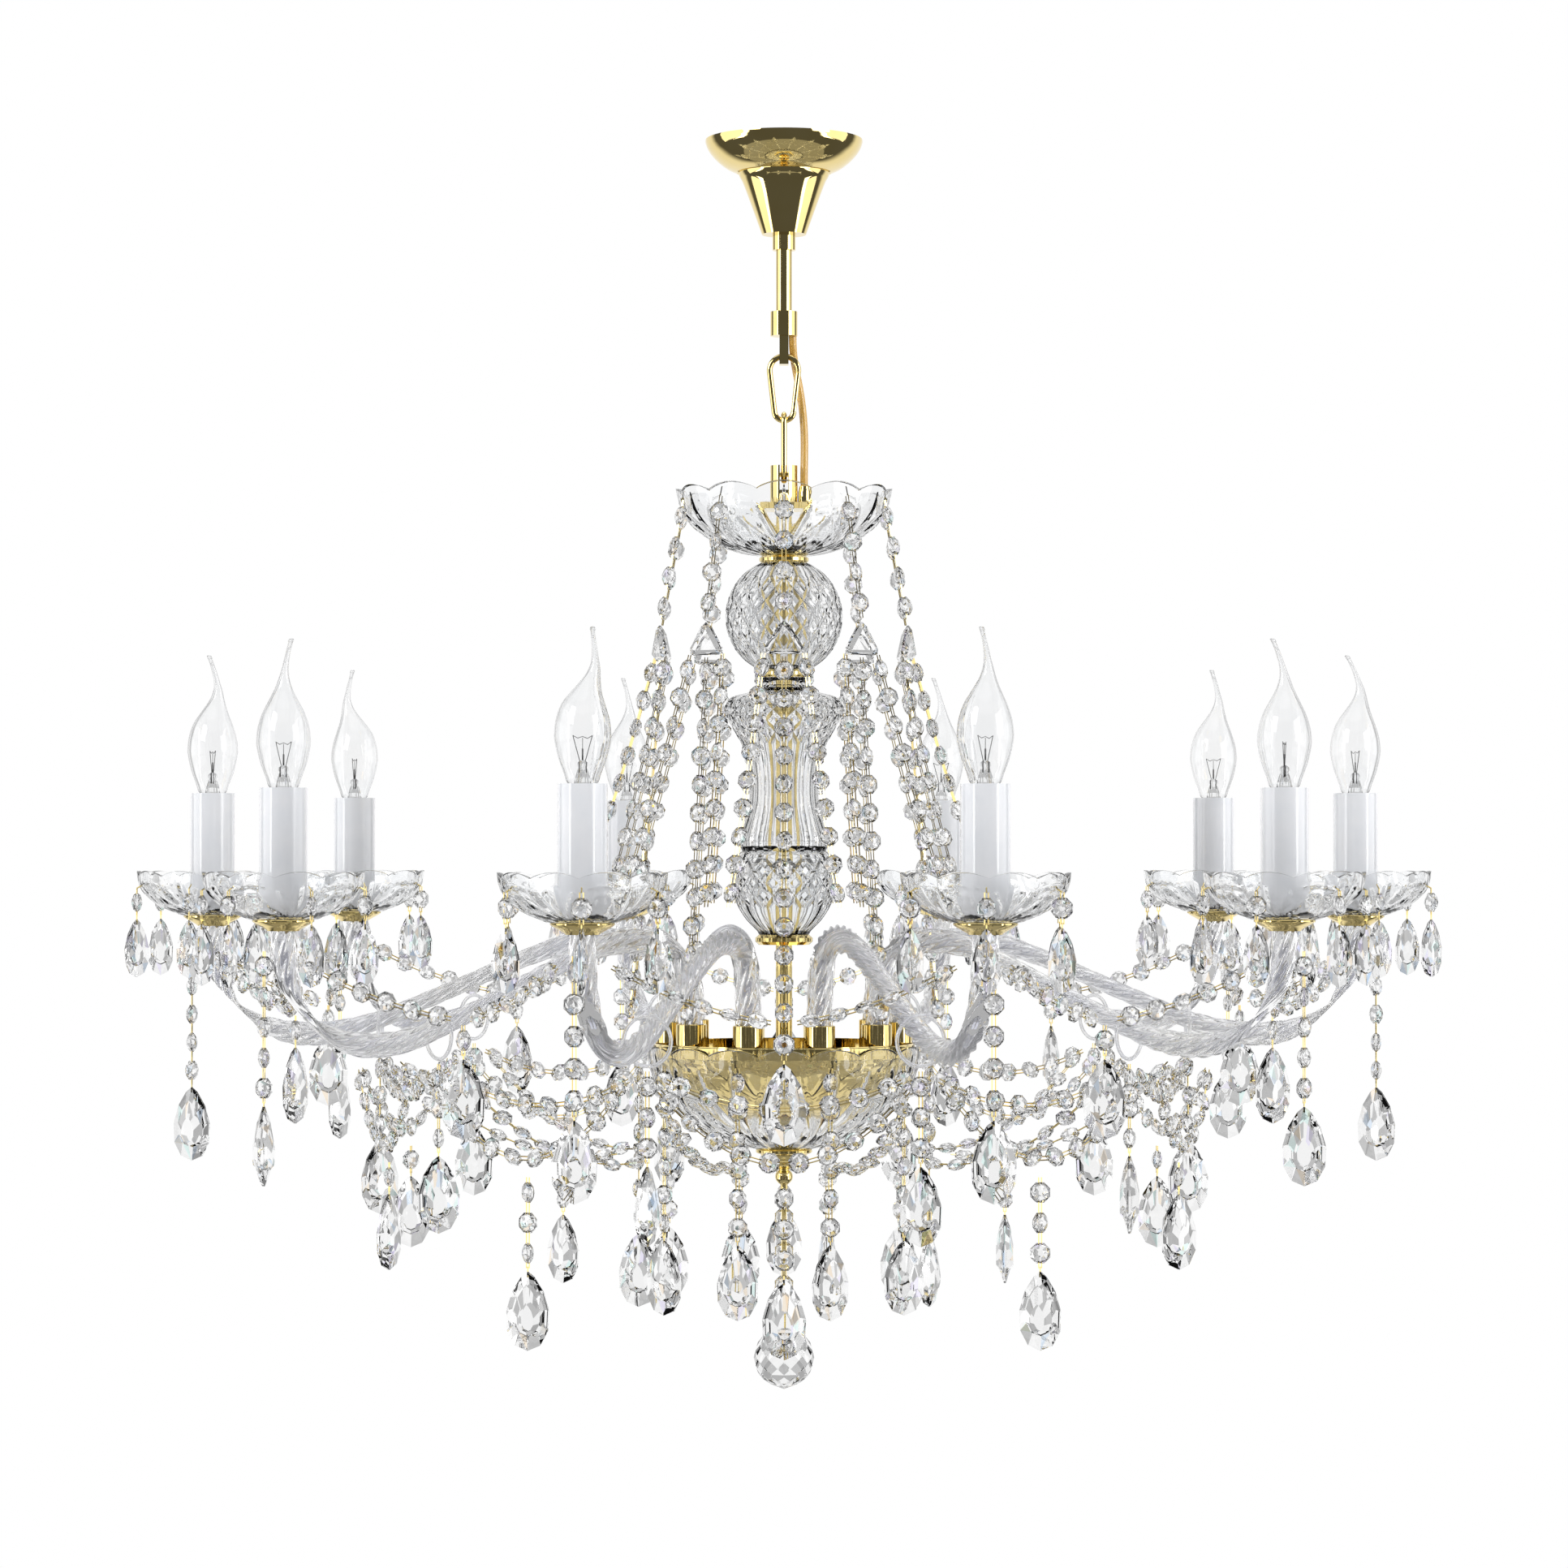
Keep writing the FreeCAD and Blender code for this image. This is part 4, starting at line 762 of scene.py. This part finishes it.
def stem_glass():
    """The ball, the vase and the bowl threaded on the stem."""
    top = high("stem_ball").z / MM
    bottom = low("stem_ball").z / MM
    middle = (top + bottom) / 2
    ball = []
    for number in range(9):
        lean = math.radians(25.5 + (180 - 51) * number / 8)
        ball.append((BALL_RADIUS * math.sin(lean), middle + BALL_RADIUS * math.cos(lean)))
    cut_body("ball_cut", "stem_ball", ball, (middle + 27, middle - 27, 3), 18, 4.6, 1.5)
    top = high("stem_vase").z / MM
    vase = [(16.8, 0), (17.4, -8), (36.5, -13.6), (41.2, -19), (41.4, -25), (38.4, -31), (33.2, -40),
            (28.2, -50), (25.2, -62), (24, -76), (24.8, -90), (28, -103), (31, -114), (29.2, -121)]
    cut_body("vase_cut", "stem_vase", raised(vase, top), (top - 16, top - 46, 2), 16, 4.2, 1.3)
    top = high("stem_bowl").z / MM
    bowl = [(29, 0), (33.2, -2.5), (36.2, -10), (37, -19), (35.9, -29), (32.2, -38.5), (26.4, -47.5),
            (19.2, -55), (17.4, -58)]
    cut_body("bowl_cut", "stem_bowl", raised(bowl, top), (top - 5, top - 39, 2), 14, 4.2, 1.4)


# ---- twisted arms

# Each point is (share of the arm's reach from the socket, share of its height above the seat).
ARM_ROUTE = [(0, 0), (0, 0.5), (0.04, 0.8), (0.15, 0.885), (0.27, 0.8), (0.58, 0.31), (0.71, 0.135),
             (0.84, 0.12), (0.93, 0.27), (1, 0.6), (1, 1)]
ARM_SEAT = high("hub_plate").z + 0.3 * MM
ARM_END = high("pan_plates").z - 4.3 * MM
ARM_REACH = CANDLE_CIRCLE - SOCKET_CIRCLE
ROPE_RADIUS = 8.5 * MM
ROPE_LOBES = 8
LOBE_DEPTH = 1.9 * MM
TWIST_PER_METRE = 52.0
HOLLOW_RADIUS = 3.7 * MM
LEAD_RADIUS = 0.8 * MM
LEAD_GAP = 1.05 * MM


def arm_line():
    """The arm's centreline, straight out to the front."""
    route = [(0, -SOCKET_CIRCLE - along * ARM_REACH, ARM_SEAT + rise * (ARM_END - ARM_SEAT))
             for along, rise in ARM_ROUTE]
    holder = nurbs("arm_line", route, 12)
    points = line_points(holder)
    bpy.data.objects.remove(holder)
    return points


def rope(points, radius, lobes, depth, twist, sides):
    """A bar along a line: its section has round lobes, and its rings of points turn with the twist."""
    bm = bmesh.new()
    section = []
    for number in range(sides):
        turn = FULL * number / sides
        size = radius - depth * (0.5 - 0.5 * math.cos(turn * lobes))
        section.append(Vector((size * math.cos(turn), size * math.sin(turn), 0)))
    rings = []
    run = 0.0
    for number, point in enumerate(points):
        ahead = points[min(number + 1, len(points) - 1)] - points[max(number - 1, 0)]
        if number:
            run += (point - points[number - 1]).length
        lean = math.atan2(ahead.z, -ahead.y) - math.pi / 2
        place = Matrix.Translation(point) @ Matrix.Rotation(lean, 4, "X")
        place = place @ Matrix.Rotation(run * twist, 4, "Z")
        rings.append([bm.verts.new(place @ corner) for corner in section])
    for before, after in zip(rings, rings[1:]):
        for side in range(sides):
            beside = (side + 1) % sides
            bm.faces.new((before[side], before[beside], after[beside], after[side]))
    bm.faces.new(rings[0])
    bm.faces.new(rings[-1])
    face_out(bm)
    return bm


def glass_arms():
    """Twisted hollow arms with the two thin leads of each lamp inside."""
    points = arm_line()
    outside = rope(points, ROPE_RADIUS, ROPE_LOBES, LOBE_DEPTH, TWIST_PER_METRE, 64)
    hollow = rope(points[1:-1], HOLLOW_RADIUS, 2, 0, 0, 16)
    base = as_mesh(joined([outside, hollow], "arm"), "arm", False)
    leads = bmesh.new()
    for side in (-1, 1):
        beside = [point + Vector((side * LEAD_GAP, 0, 0)) for point in points[2:-2]]
        leads.from_mesh(as_mesh(rope(beside, LEAD_RADIUS, 2, 0, 0, 8), "lead"))
    pair = as_mesh(leads, "leads")
    for number, turn in enumerate(ARM_TURNS, start=1):
        crease(finished(f"arm_rope_{number:02d}", copies(base, [turn]), ROPE_GLASS, STEM,
                        f"arm_{number:02d}", turn=False), 60)
    finished("arm_leads", copies(pair, ARM_TURNS), WIRE_SHEATH, STEM, "arm_wiring", turn=False)


# ---- bulbs

# For each bulb, how far its tip leans and its neck bulges sideways, in millimetres.
BULB_BENDS = [(-2.3, 2.4), (-7.5, 1.9), (-5.6, 5.3), (-1.2, 4.6), (-6, 2), (-3, 3), (-1.6, -5.6),
              (-2.6, 4.5), (4.9, -0.8), (6, 6.6)]
BULB_WALL = 0.7 * MM
TIP_HEIGHT = 96.6 * MM
FILAMENT_TURN = 37
BEND_STARTS = 44.0
BEND_LENGTH = 53.0


def bulb_outline(foot):
    line = [(6.4, 0), (9.8, 2.6), (11.6, 8), (15, 17.5), (17.2, 27.5), (17.5, 32.5), (16.6, 40.5), (13.6, 50),
            (9.4, 58), (5.9, 65), (3.7, 71.5), (2.3, 78), (1.75, 85), (1.5, 92), (1.45, 95.2)]
    return in_metres(eased(line, 3), foot)


def bulb_wires(foot):
    """Two support wires that open like a V, a post between them and the filament across their tops."""
    posts = [((1.6, 8), (1.6, 15), 0.3), ((-1.6, 8), (-1.6, 15), 0.3), ((1.6, 15), (6.0, 31), 0.25),
             ((-1.6, 15), (-6.0, 31), 0.25), ((0, 15.5), (0, 23), 0.55), ((0, 23), (0, 29.6), 0.2)]
    line = [(-6, 31), (-3, 29.4), (0, 30.4), (3, 29.2), (6, 31)]
    posts += [(start, end, 0.2) for start, end in zip(line, line[1:])]
    places = [bar(Vector((x * MM, 0, foot + z * MM)), Vector((end_x * MM, 0, foot + end_z * MM)), thick * MM)
              for (x, z), (end_x, end_z), thick in posts]
    return as_mesh(copies(unit_bar(6), places), "filament")


def bulbs():
    """Flame-tip bulbs: blown envelope with a drawn, bent tip, stem, support wires, filament and cap."""
    foot = high("lampholders").z
    outer = bulb_outline(foot)
    top = foot + TIP_HEIGHT
    tip = [(1.9 * MM, top - 0.9 * MM), (1.6 * MM, top + 0.6 * MM), (0.0, top + 1.2 * MM)]
    inner = [(max(radius - BULB_WALL, 0.6 * MM), height) for radius, height in reversed(outer[:-3])]
    hollow = [(0.0, inner[0][1] + 0.6 * MM)] + inner + [(0.0, foot + 0.6 * MM)]
    envelope = as_mesh(joined([lathe(outer + tip, 40), lathe(hollow, 40)], "envelope"), "envelope", False)
    stem_line = [(0, 1.2), (5.4, 1.3), (4.6, 5), (3.4, 9), (2.6, 11.5), (3.3, 13), (3, 14.6), (1.6, 15.8),
                 (0, 16.2)]
    stem = as_mesh(lathe(in_metres(stem_line, foot), 20), "stem")
    wires = bulb_wires(foot)
    thread = [(0, 0), (6.9, 0)]
    for ridge in range(6):
        thread += [(6.9, -1.0 - 2.8 * ridge), (6.2, -2.4 - 2.8 * ridge)]
    thread += [(6.9, -18), (5, -21.5), (3.4, -22.6), (2.6, -24.6), (0, -25)]
    cap = as_mesh(lathe(in_metres(thread, foot), 32), "cap")
    for number, place in enumerate(CANDLE_PLACES, start=1):
        tag = f"{number:02d}"
        body = f"bulb_{tag}_body"
        glass = bmesh.new()
        glass.from_mesh(envelope)
        lean, bulge = BULB_BENDS[number - 1]
        for vert in glass.verts:
            share = max((vert.co.z - foot) / MM - BEND_STARTS, 0.0) / BEND_LENGTH
            curve = smoothstep(share * 1.6) * math.sin(math.pi * min(share, 1) ** 0.9)
            vert.co.x += MM * (lean * share ** 2.5 + bulge * curve)
        bmesh.ops.transform(glass, matrix=place, verts=glass.verts[:])
        finished(f"bulb_glass_{tag}", glass, BULB_GLASS, body, f"bulb_{tag}", turn=False)
        finished(f"bulb_stem_{tag}", copies(stem, [place]), BULB_GLASS, body, None, turn=False)
        turned = place @ around_stem(FILAMENT_TURN * number)
        finished(f"bulb_filament_{tag}", copies(wires, [turned]), TUNGSTEN, body, turn=False)
        finished(f"bulb_cap_{tag}", copies(cap, [place]), GOLD, body, None, turn=False)


# ---- beads, drops and their wires

BEAD_PITCH = 19.5 * MM
PAN_RADIUS = 52.3 * MM
HALF_FACET = 22.5


def swing(bm, degrees, axis, verts):
    matrix = Matrix.Rotation(math.radians(degrees), 3, axis)
    bmesh.ops.rotate(bm, cent=(0, 0, 0), matrix=matrix, verts=verts)


def thickened(bm, across):
    """Make the one face of a flat shape into a slab, half on each side of it."""
    side = bmesh.ops.extrude_face_region(bm, geom=bm.faces[:])["geom"]
    lifted = [item for item in side if isinstance(item, bmesh.types.BMVert)]
    bmesh.ops.translate(bm, vec=across, verts=lifted)
    bmesh.ops.translate(bm, vec=across / -2, verts=bm.verts[:])
    face_out(bm)


def bead_mesh():
    """An octagon bead: flat axis along X, drilled ends along Z, with a table on each side."""
    bm = bmesh.new()
    ring = bmesh.ops.create_circle(bm, cap_ends=True, segments=8, radius=7.0 * MM)["verts"]
    swing(bm, HALF_FACET, "Z", ring)
    thickened(bm, Vector((0, 0, 1.2 * MM)))
    tables = [face for face in bm.faces if abs(face.normal.z) > 0.9]
    bmesh.ops.inset_individual(bm, faces=tables, thickness=2.1 * MM, depth=1.9 * MM)
    for table in tables:
        swing(bm, HALF_FACET, "Z", table.verts[:])
    bmesh.ops.inset_individual(bm, faces=tables, thickness=3.0 * MM, depth=1.1 * MM)
    swing(bm, 90, "Y", bm.verts[:])
    return as_mesh(bm, "bead")


def pear_mesh(length, half_width, half_depth, name):
    """A flat pear drop hung from the origin: a girdle, a ring of kite facets and a table on each side."""
    bm = bmesh.new()
    ring = bmesh.ops.create_circle(bm, cap_ends=True, segments=12, radius=1.0)["verts"]
    for vert in ring:
        down = math.atan2(vert.co.x, vert.co.y)
        half = abs(down) / 2
        width = math.copysign(2 * math.sin(half) ** 1.5 * math.cos(half) / 0.862, down)
        vert.co = Vector((width * half_width, -math.sin(half) ** 2 * length, 0))
    thickened(bm, Vector((0, 0, 1.6 * MM)))
    middle = Vector((0, -length * 0.58, 0))
    tables = [face for face in bm.faces if abs(face.normal.z) > 0.99]
    for scale, rise, skew in ((0.62, 0.52, 0.04), (0.56, 0.34, -0.05)):
        for table in tables:
            out = math.copysign(half_depth * rise, table.normal.z)
            bmesh.ops.inset_individual(bm, faces=[table], thickness=0)
            for vert in table.verts:
                flat = middle + (Vector((vert.co.x, vert.co.y, 0)) - middle) * scale
                vert.co = Vector((flat.x, flat.y + skew * length, vert.co.z + out))
    kites = [face for face in bm.faces if len(face.verts) == 4 and abs(face.normal.z) > 0.12]
    for number, kite in enumerate(kites):
        bmesh.ops.triangulate(bm, faces=[kite], quad_method="ALTERNATE" if number % 2 else "FIXED")
    bmesh.ops.remove_doubles(bm, verts=bm.verts[:], dist=1e-5)
    swing(bm, 90, "X", bm.verts[:])
    return as_mesh(bm, name)


def spreader_mesh():
    """A three-cornered crystal that spreads one string into three."""
    bm = bmesh.new()
    corners = [(0, 12), (-4, 9), (-13.4, -6), (-13, -9.5), (-10, -10.5), (10, -10.5), (13, -9.5), (13.4, -6),
               (4, 9)]
    bm.faces.new([bm.verts.new((x * MM, 0, z * MM)) for x, z in corners])
    thickened(bm, Vector((0, 1.6 * MM, 0)))
    tables = [face for face in bm.faces if abs(face.normal.y) > 0.9]
    bmesh.ops.inset_individual(bm, faces=tables, thickness=3.4 * MM, depth=2.3 * MM)
    return as_mesh(bm, "spreader")


def string_points(start, end, sag):
    """Bead centres and directions along a string that hangs between two points."""
    samples = 200
    line = []
    for number in range(samples + 1):
        share = number / samples
        line.append(start.lerp(end, share) - UP * (4 * sag * share * (1 - share)))
    steps = [(after - before).length for before, after in zip(line, line[1:])]
    count = max(1, round(sum(steps) / BEAD_PITCH))
    gap = sum(steps) / count
    beads = []
    run = 0.0
    for before, after, step in zip(line, line[1:], steps):
        while len(beads) < count and (len(beads) + 0.5) * gap <= run + step:
            share = ((len(beads) + 0.5) * gap - run) / step
            beads.append((before.lerp(after, share), (after - before).normalized()))
        run += step
    return beads


# How far, in degrees, one bead or drop after another is turned from straight.
BEAD_LEANS = [0, 14, -20, 26, -8, 35, -30, 6]
DROP_LEANS = [8, -22, 31, -12, 84, 15, -34, 4, 62, -8]


class Dressing:
    """Collects the places of one group's beads, drops and wire links."""

    def __init__(self):
        self.beads = []
        self.pears = []
        self.smalls = []
        self.spreaders = []
        self.wires = []

    def turned(self, point, along, lean):
        """A bead's place: Z along its string, its flat faces to and from the stem."""
        away = Vector((point.x, point.y, 0))
        if away.length < 1 * MM:
            away = Vector((0, -1, 0))
        flat = (away - along * away.dot(along)).normalized()
        lay = Matrix((flat, along.cross(flat), along)).transposed().to_4x4()
        return Matrix.Translation(point) @ lay @ Matrix.Rotation(math.radians(lean), 4, "Z")

    def link(self, start, end):
        """A double wire link between two drilled holes."""
        run = end - start
        if run.length < 1 * MM:
            return
        middle = (start + end) / 2
        away = Vector((middle.x, middle.y, 0.01))
        across = run.cross(away).normalized() * 1.15 * MM
        for side in (-1, 1):
            self.wires.append(bar(start + across * side, end + across * side, 0.4 * MM))

    def string(self, start, end, sag=0.0, tilt=0):
        tail = start
        for point, along in string_points(start, end, sag):
            lean = BEAD_LEANS[(len(self.beads) + len(self.spreaders)) % len(BEAD_LEANS)] + tilt
            self.beads.append(self.turned(point, along, lean))
            self.link(tail, point - along * 4.9 * MM)
            tail = point + along * 4.9 * MM
        self.link(tail, end)

    def hang(self, point, count, group):
        """Beads straight down from a point, with a drop under them."""
        foot = point - UP * (BEAD_PITCH * count)
        self.string(point, foot)
        lean = DROP_LEANS[(len(self.pears) + len(self.smalls)) % len(DROP_LEANS)]
        turn = Matrix.Rotation(math.radians(lean), 4, "Z")
        group.append(Matrix.Translation(foot - UP * PIN_LENGTH) @ turn)
        self.wires.append(bar(foot + UP * 1 * MM, foot - UP * 6 * MM, 0.45 * MM))


PIN_LENGTH = 2 * MM
SWAG_DROP = 56 * MM
EDGE_ON = 90
RING_INSET = 14 * MM
RING_CIRCLE = 281 * MM


def upper_dressing():
    """From each dish hook four beads, a spreader, two strands to the arms' arches and one down to the hub."""
    group = Dressing()
    hook_height = high("top_dish").z - 8 * MM
    arch_height = ARM_SEAT + (ARM_END - ARM_SEAT) * 0.86
    dish_radius = (high("top_dish").x - low("top_dish").x) / 2
    for angle in BAY_ANGLES:
        centre = spot(angle, dish_radius + 14.4 * MM, hook_height - 101 * MM)
        hook = spot(angle, dish_radius - 2.2 * MM, hook_height - PIN_LENGTH)
        group.string(hook, centre + UP * 15 * MM)
        inside = hook + UP * 7 * MM - spot(angle, 3 * MM, 0)
        group.wires.append(bar(hook + spot(angle, 1.5 * MM, 0), inside, 0.5 * MM))
        group.spreaders.append(Matrix.Translation(centre) @ around_stem(angle))
        turn = math.radians(angle)
        for side in (-1, 1):
            outward = Vector((math.cos(turn), math.sin(turn), 0)) * (14 * MM * side)
            end = spot(angle + side * HALF_BAY, SOCKET_CIRCLE + 0.211 * ARM_REACH, arch_height + 24 * MM)
            group.string(centre + outward - UP * 10 * MM, end - outward * 0.6, 6 * MM)
        group.string(centre - UP * 12 * MM, spot(angle, SOCKET_CIRCLE + 33.5 * MM, ARM_SEAT + 20 * MM))
    return group


def pan_dressing(group):
    """Swags between the arms' ends with a pear in the middle, and the small drops on each pan's pins."""
    plate_low = low("pan_plates").z
    for angle in BAY_ANGLES:
        centre = spot(angle, CANDLE_CIRCLE - 53 * MM, plate_low - SWAG_DROP)
        for side in (-1, 1):
            start = spot(angle + side * (HALF_BAY - 2.6), CANDLE_CIRCLE - 3 * MM, plate_low - 18 * MM)
            end = centre + (start - centre).normalized() * 9 * MM
            group.string(start, end, 5 * MM, EDGE_ON if angle == 0 else 0)
        group.hang(centre - UP * 1 * MM, 1, group.pears)
    pin_height = high("drip_pans").z - 12 * MM
    for angle in ARM_ANGLES:
        middle = spot(angle, CANDLE_CIRCLE, 0)
        first = angle - math.copysign(20, middle.x)
        for number in range(6):
            pin = middle + spot(first + 60 * number, PAN_RADIUS + 0.8 * MM, pin_height)
            inside = middle + spot(first + 60 * number, PAN_RADIUS - 5 * MM, pin_height + 3 * MM)
            group.wires.append(bar(pin, inside, 0.5 * MM))
            group.hang(pin, 1, group.smalls)


def lower_dressing(group):
    """Drop strings and swags under the arms, the swag rings and the bottom dish."""
    plate_low = low("pan_plates").z
    ring_low = low("swag_rings").z
    rim = high("bottom_dish").z - 12 * MM
    rim_hook = (high("bottom_dish").x - low("bottom_dish").x) / 2 + 5 * MM
    for angle in ARM_ANGLES:
        group.hang(spot(angle, CANDLE_CIRCLE + 14 * MM, plate_low - 11 * MM), 5, group.pears)
        group.hang(spot(angle, RING_CIRCLE, ring_low - PIN_LENGTH), 3, group.pears)
        group.hang(spot(angle, rim_hook, rim), 6, group.pears)
        start = spot(angle, RING_CIRCLE - RING_INSET, ring_low - 8 * MM)
        group.string(start, spot(angle, rim_hook + 15 * MM, rim - 64 * MM), 22 * MM)
    lean = math.degrees(12.5 * MM / RING_CIRCLE)
    for angle in BAY_ANGLES:
        for sag, tuck in ((18 * MM, 0), (46 * MM, RING_INSET)):
            ends = [spot(angle + side * (HALF_BAY - lean), RING_CIRCLE + tuck, ring_low - 8 * MM - tuck * 0.4)
                    for side in (-1, 1)]
            group.string(ends[0], ends[1], sag)
        across = (RING_CIRCLE + RING_INSET) * math.cos(math.radians(HALF_BAY))
        on_side = abs(math.sin(math.radians(angle))) > 0.9
        group.hang(spot(angle, across, ring_low - 72 * MM), 1 if on_side else 3, group.pears)


# Painted glints: colours painted onto a few small facets to stand for the coloured fire that cut crystal
# throws in light.
PAINTED_GLINTS = [(0.62, 0.78, 1.0, 1), (1.0, 0.80, 0.58, 1), (0.80, 0.74, 1.0, 1), (0.66, 0.95, 0.90, 1)]


def tint_and_paint_glints(bm, seed, share):
    """Give every facet its own faint tint, and a share of the smaller ones a painted coloured glint."""
    chance = random.Random(seed)
    layer = bm.loops.layers.float_color.new("fire")
    for face in bm.faces:
        colour = grey(chance.uniform(0.93, 1.0))
        # A share of the small facets gets a painted glint of colour in place of its tint.
        if chance.random() < share and face.calc_area() < (6 * MM) ** 2:
            colour = chance.choice(PAINTED_GLINTS)
        for corner in face.loops:
            corner[layer] = colour


def crystal_set(name, base, places, node, seed, share=0.05, body=STEM):
    # share is the part of the small facets that get a painted glint.
    bm = copies(base, places)
    tint_and_paint_glints(bm, seed, share)
    return finished(name, bm, CRYSTAL, body, node, smooth=False, turn=False)


def wire_set(name, group):
    bm = copies(unit_bar(4), group.wires)
    finished(name, bm, GOLD, STEM, None, smooth=False, turn=False)


def crystals():
    bead = bead_mesh()
    pear = pear_mesh(51 * MM, 14.3 * MM, 6.4 * MM, "pear")
    drop = pear_mesh(40 * MM, 8.9 * MM, 4.1 * MM, "drop")
    upper = upper_dressing()
    crystal_set("upper_beads", bead, upper.beads, "upper_strings", 1)
    crystal_set("strand_spreaders", spreader_mesh(), upper.spreaders, None, 2, 0.1)
    wire_set("upper_wires", upper)
    lower = Dressing()
    pan_dressing(lower)
    lower_dressing(lower)
    crystal_set("lower_beads", bead, lower.beads, "lower_strings", 3)
    crystal_set("pear_set", pear, lower.pears, "pear_drops", 4, 0.12)
    crystal_set("small_drop_set", drop, lower.smalls, None, 5, 0.12)
    wire_set("lower_wires", lower)


def hanging_ball():
    """The faceted ball, drawn to a low point, with the three beads on its wire."""
    foot = low("ball_wire").z
    radius = 21 * MM
    centre = Vector((0, 0, foot - radius))
    tiers = 6
    line = [(0.0, foot)]
    for tier in range(1, tiers):
        lean = math.pi * tier / tiers
        line.append((radius * math.sin(lean), foot - radius + radius * math.cos(lean)))
    bm = lathe(line + [(0.0, low("crystal_ball").z)], 12)
    diamonds(bm, {face for face in bm.faces if len(face.verts) == 4})
    for vert in bm.verts:
        if math.hypot(vert.co.x, vert.co.y) > 1 * MM:
            vert.co = centre + (vert.co - centre).normalized() * radius
    ball = as_mesh(bm, "ball")
    crystal_set("ball_faceted", ball, [Matrix.Identity(4)], "crystal_ball", 6, 0.12, "ball_drop")
    tip = low("finial").z
    places = [Matrix.Translation((0, 0, tip - (14 + number * 19.5 * 1.2) * MM)) @ around_stem(90)
              for number in range(3)]
    crystal_set("ball_beads", bead_mesh(), places, None, 7, 0.05, "ball_drop")


# ---- studio


def band(way, near, far, level):
    """A stripe on both sides of the middle, between two distances from it."""
    return (abs(way) > near) * (abs(way) < far) * level


def surround():
    """White behind the fitting; in front a dark room with a tall soft box on each side, and a pale ceiling.

    What is seen through the glass is paler, as in a tent of white cloth with seams and a gap in front."""
    world = bpy.data.worlds.new("surround")
    bpy.context.scene.world = world
    finish = Finish(world)
    way = finish.node("TexCoord")
    x, y, z = (finish.node("SeparateXYZ", None, {"Vector": way}, output=axis) for axis in range(3))
    behind = finish.node("MapRange", {"interpolation_type": "SMOOTHSTEP"},
                         {"Value": y, "From Min": 0.50, "From Max": 0.72, "To Min": 0.10, "To Max": 1.0})
    boxes = (abs(x) > 0.78) * (y < 0.28) * (z > -0.45) * (z < 0.62) * 1.5
    ceiling = (z > 0.80) * 0.9
    below = (z < -0.80) * 0.35
    strips = band(x, 0.80, 0.87, 5.0) * (y < 0.0) * (abs(z) < 0.5)
    shone = behind.larger(boxes).larger(ceiling).larger(below).larger(strips)
    gap = (y < -0.70) * (abs(z) < 0.55)
    seams = band(x, 0.22, 0.31, 0.42).larger(band(x, 0.44, 0.60, 0.55))
    seams = seams.larger(band(z, 0.19, 0.28, 0.40)).larger(band(z, 0.42, 0.54, 0.5))
    under = (z < -0.30) * (y < -0.10)
    through = (1.0 - gap * 0.72).smaller(1.0 - seams).smaller(1.0 - under * 0.60)
    crossed = finish.node("LightPath", output=6)
    seen = finish.node("Mix", {"data_type": "RGBA"}, {0: crossed, 6: shone, 7: through}, output=2)
    to_camera = finish.node("LightPath")
    shade = finish.node("Mix", {"data_type": "RGBA"}, {0: to_camera, 6: seen, 7: (1, 1, 1, 1)}, output=2)
    finish.feed(finish.tree.nodes["Background"].inputs["Color"], shade)


FLOOR_HEIGHT = -2.4
LAMPS = [("key", (-2.4, -2.2, 1.2), 1.6, 42), ("fill", (2.6, -1.8, 0.4), 1.6, 30),
         ("top", (0.2, 0.6, 2.6), 2.0, 30)]


def studio():
    """A pale floor well below and three soft lamps."""
    surround()
    bm = bmesh.new()
    bmesh.ops.create_grid(bm, x_segments=8, y_segments=8, size=7)
    bmesh.ops.translate(bm, vec=(0, 0, FLOOR_HEIGHT), verts=bm.verts[:])
    mesh = as_mesh(bm, "floor", False)
    ground = surface("floor_pale", Roughness=0.6)
    ground.ramp(ground.noise(2.0), (0.3, grey(0.86)), (0.7, grey(0.88)))
    mesh.materials.append(ground.owner)
    floor = placed("floor", mesh)
    floor.visible_glossy = False
    floor.visible_transmission = False
    for name, place, size, watts in LAMPS:
        light = bpy.data.lights.new(name, "AREA")
        light.size = size
        light.energy = watts
        lamp = placed(name, light)
        lamp.location = place
        aim = Vector((0, 0, -0.5)) - Vector(place)
        lamp.rotation_euler = aim.to_track_quat("-Z", "Y").to_euler()
        lamp.visible_transmission = False


camera()
supply_cable()
metal_and_plastic()
top_dish()
bottom_dish()
drip_pans()
stem_glass()
glass_arms()
bulbs()
crystals()
hanging_ball()
studio()

bpy.context.scene.view_settings.view_transform = "Standard"
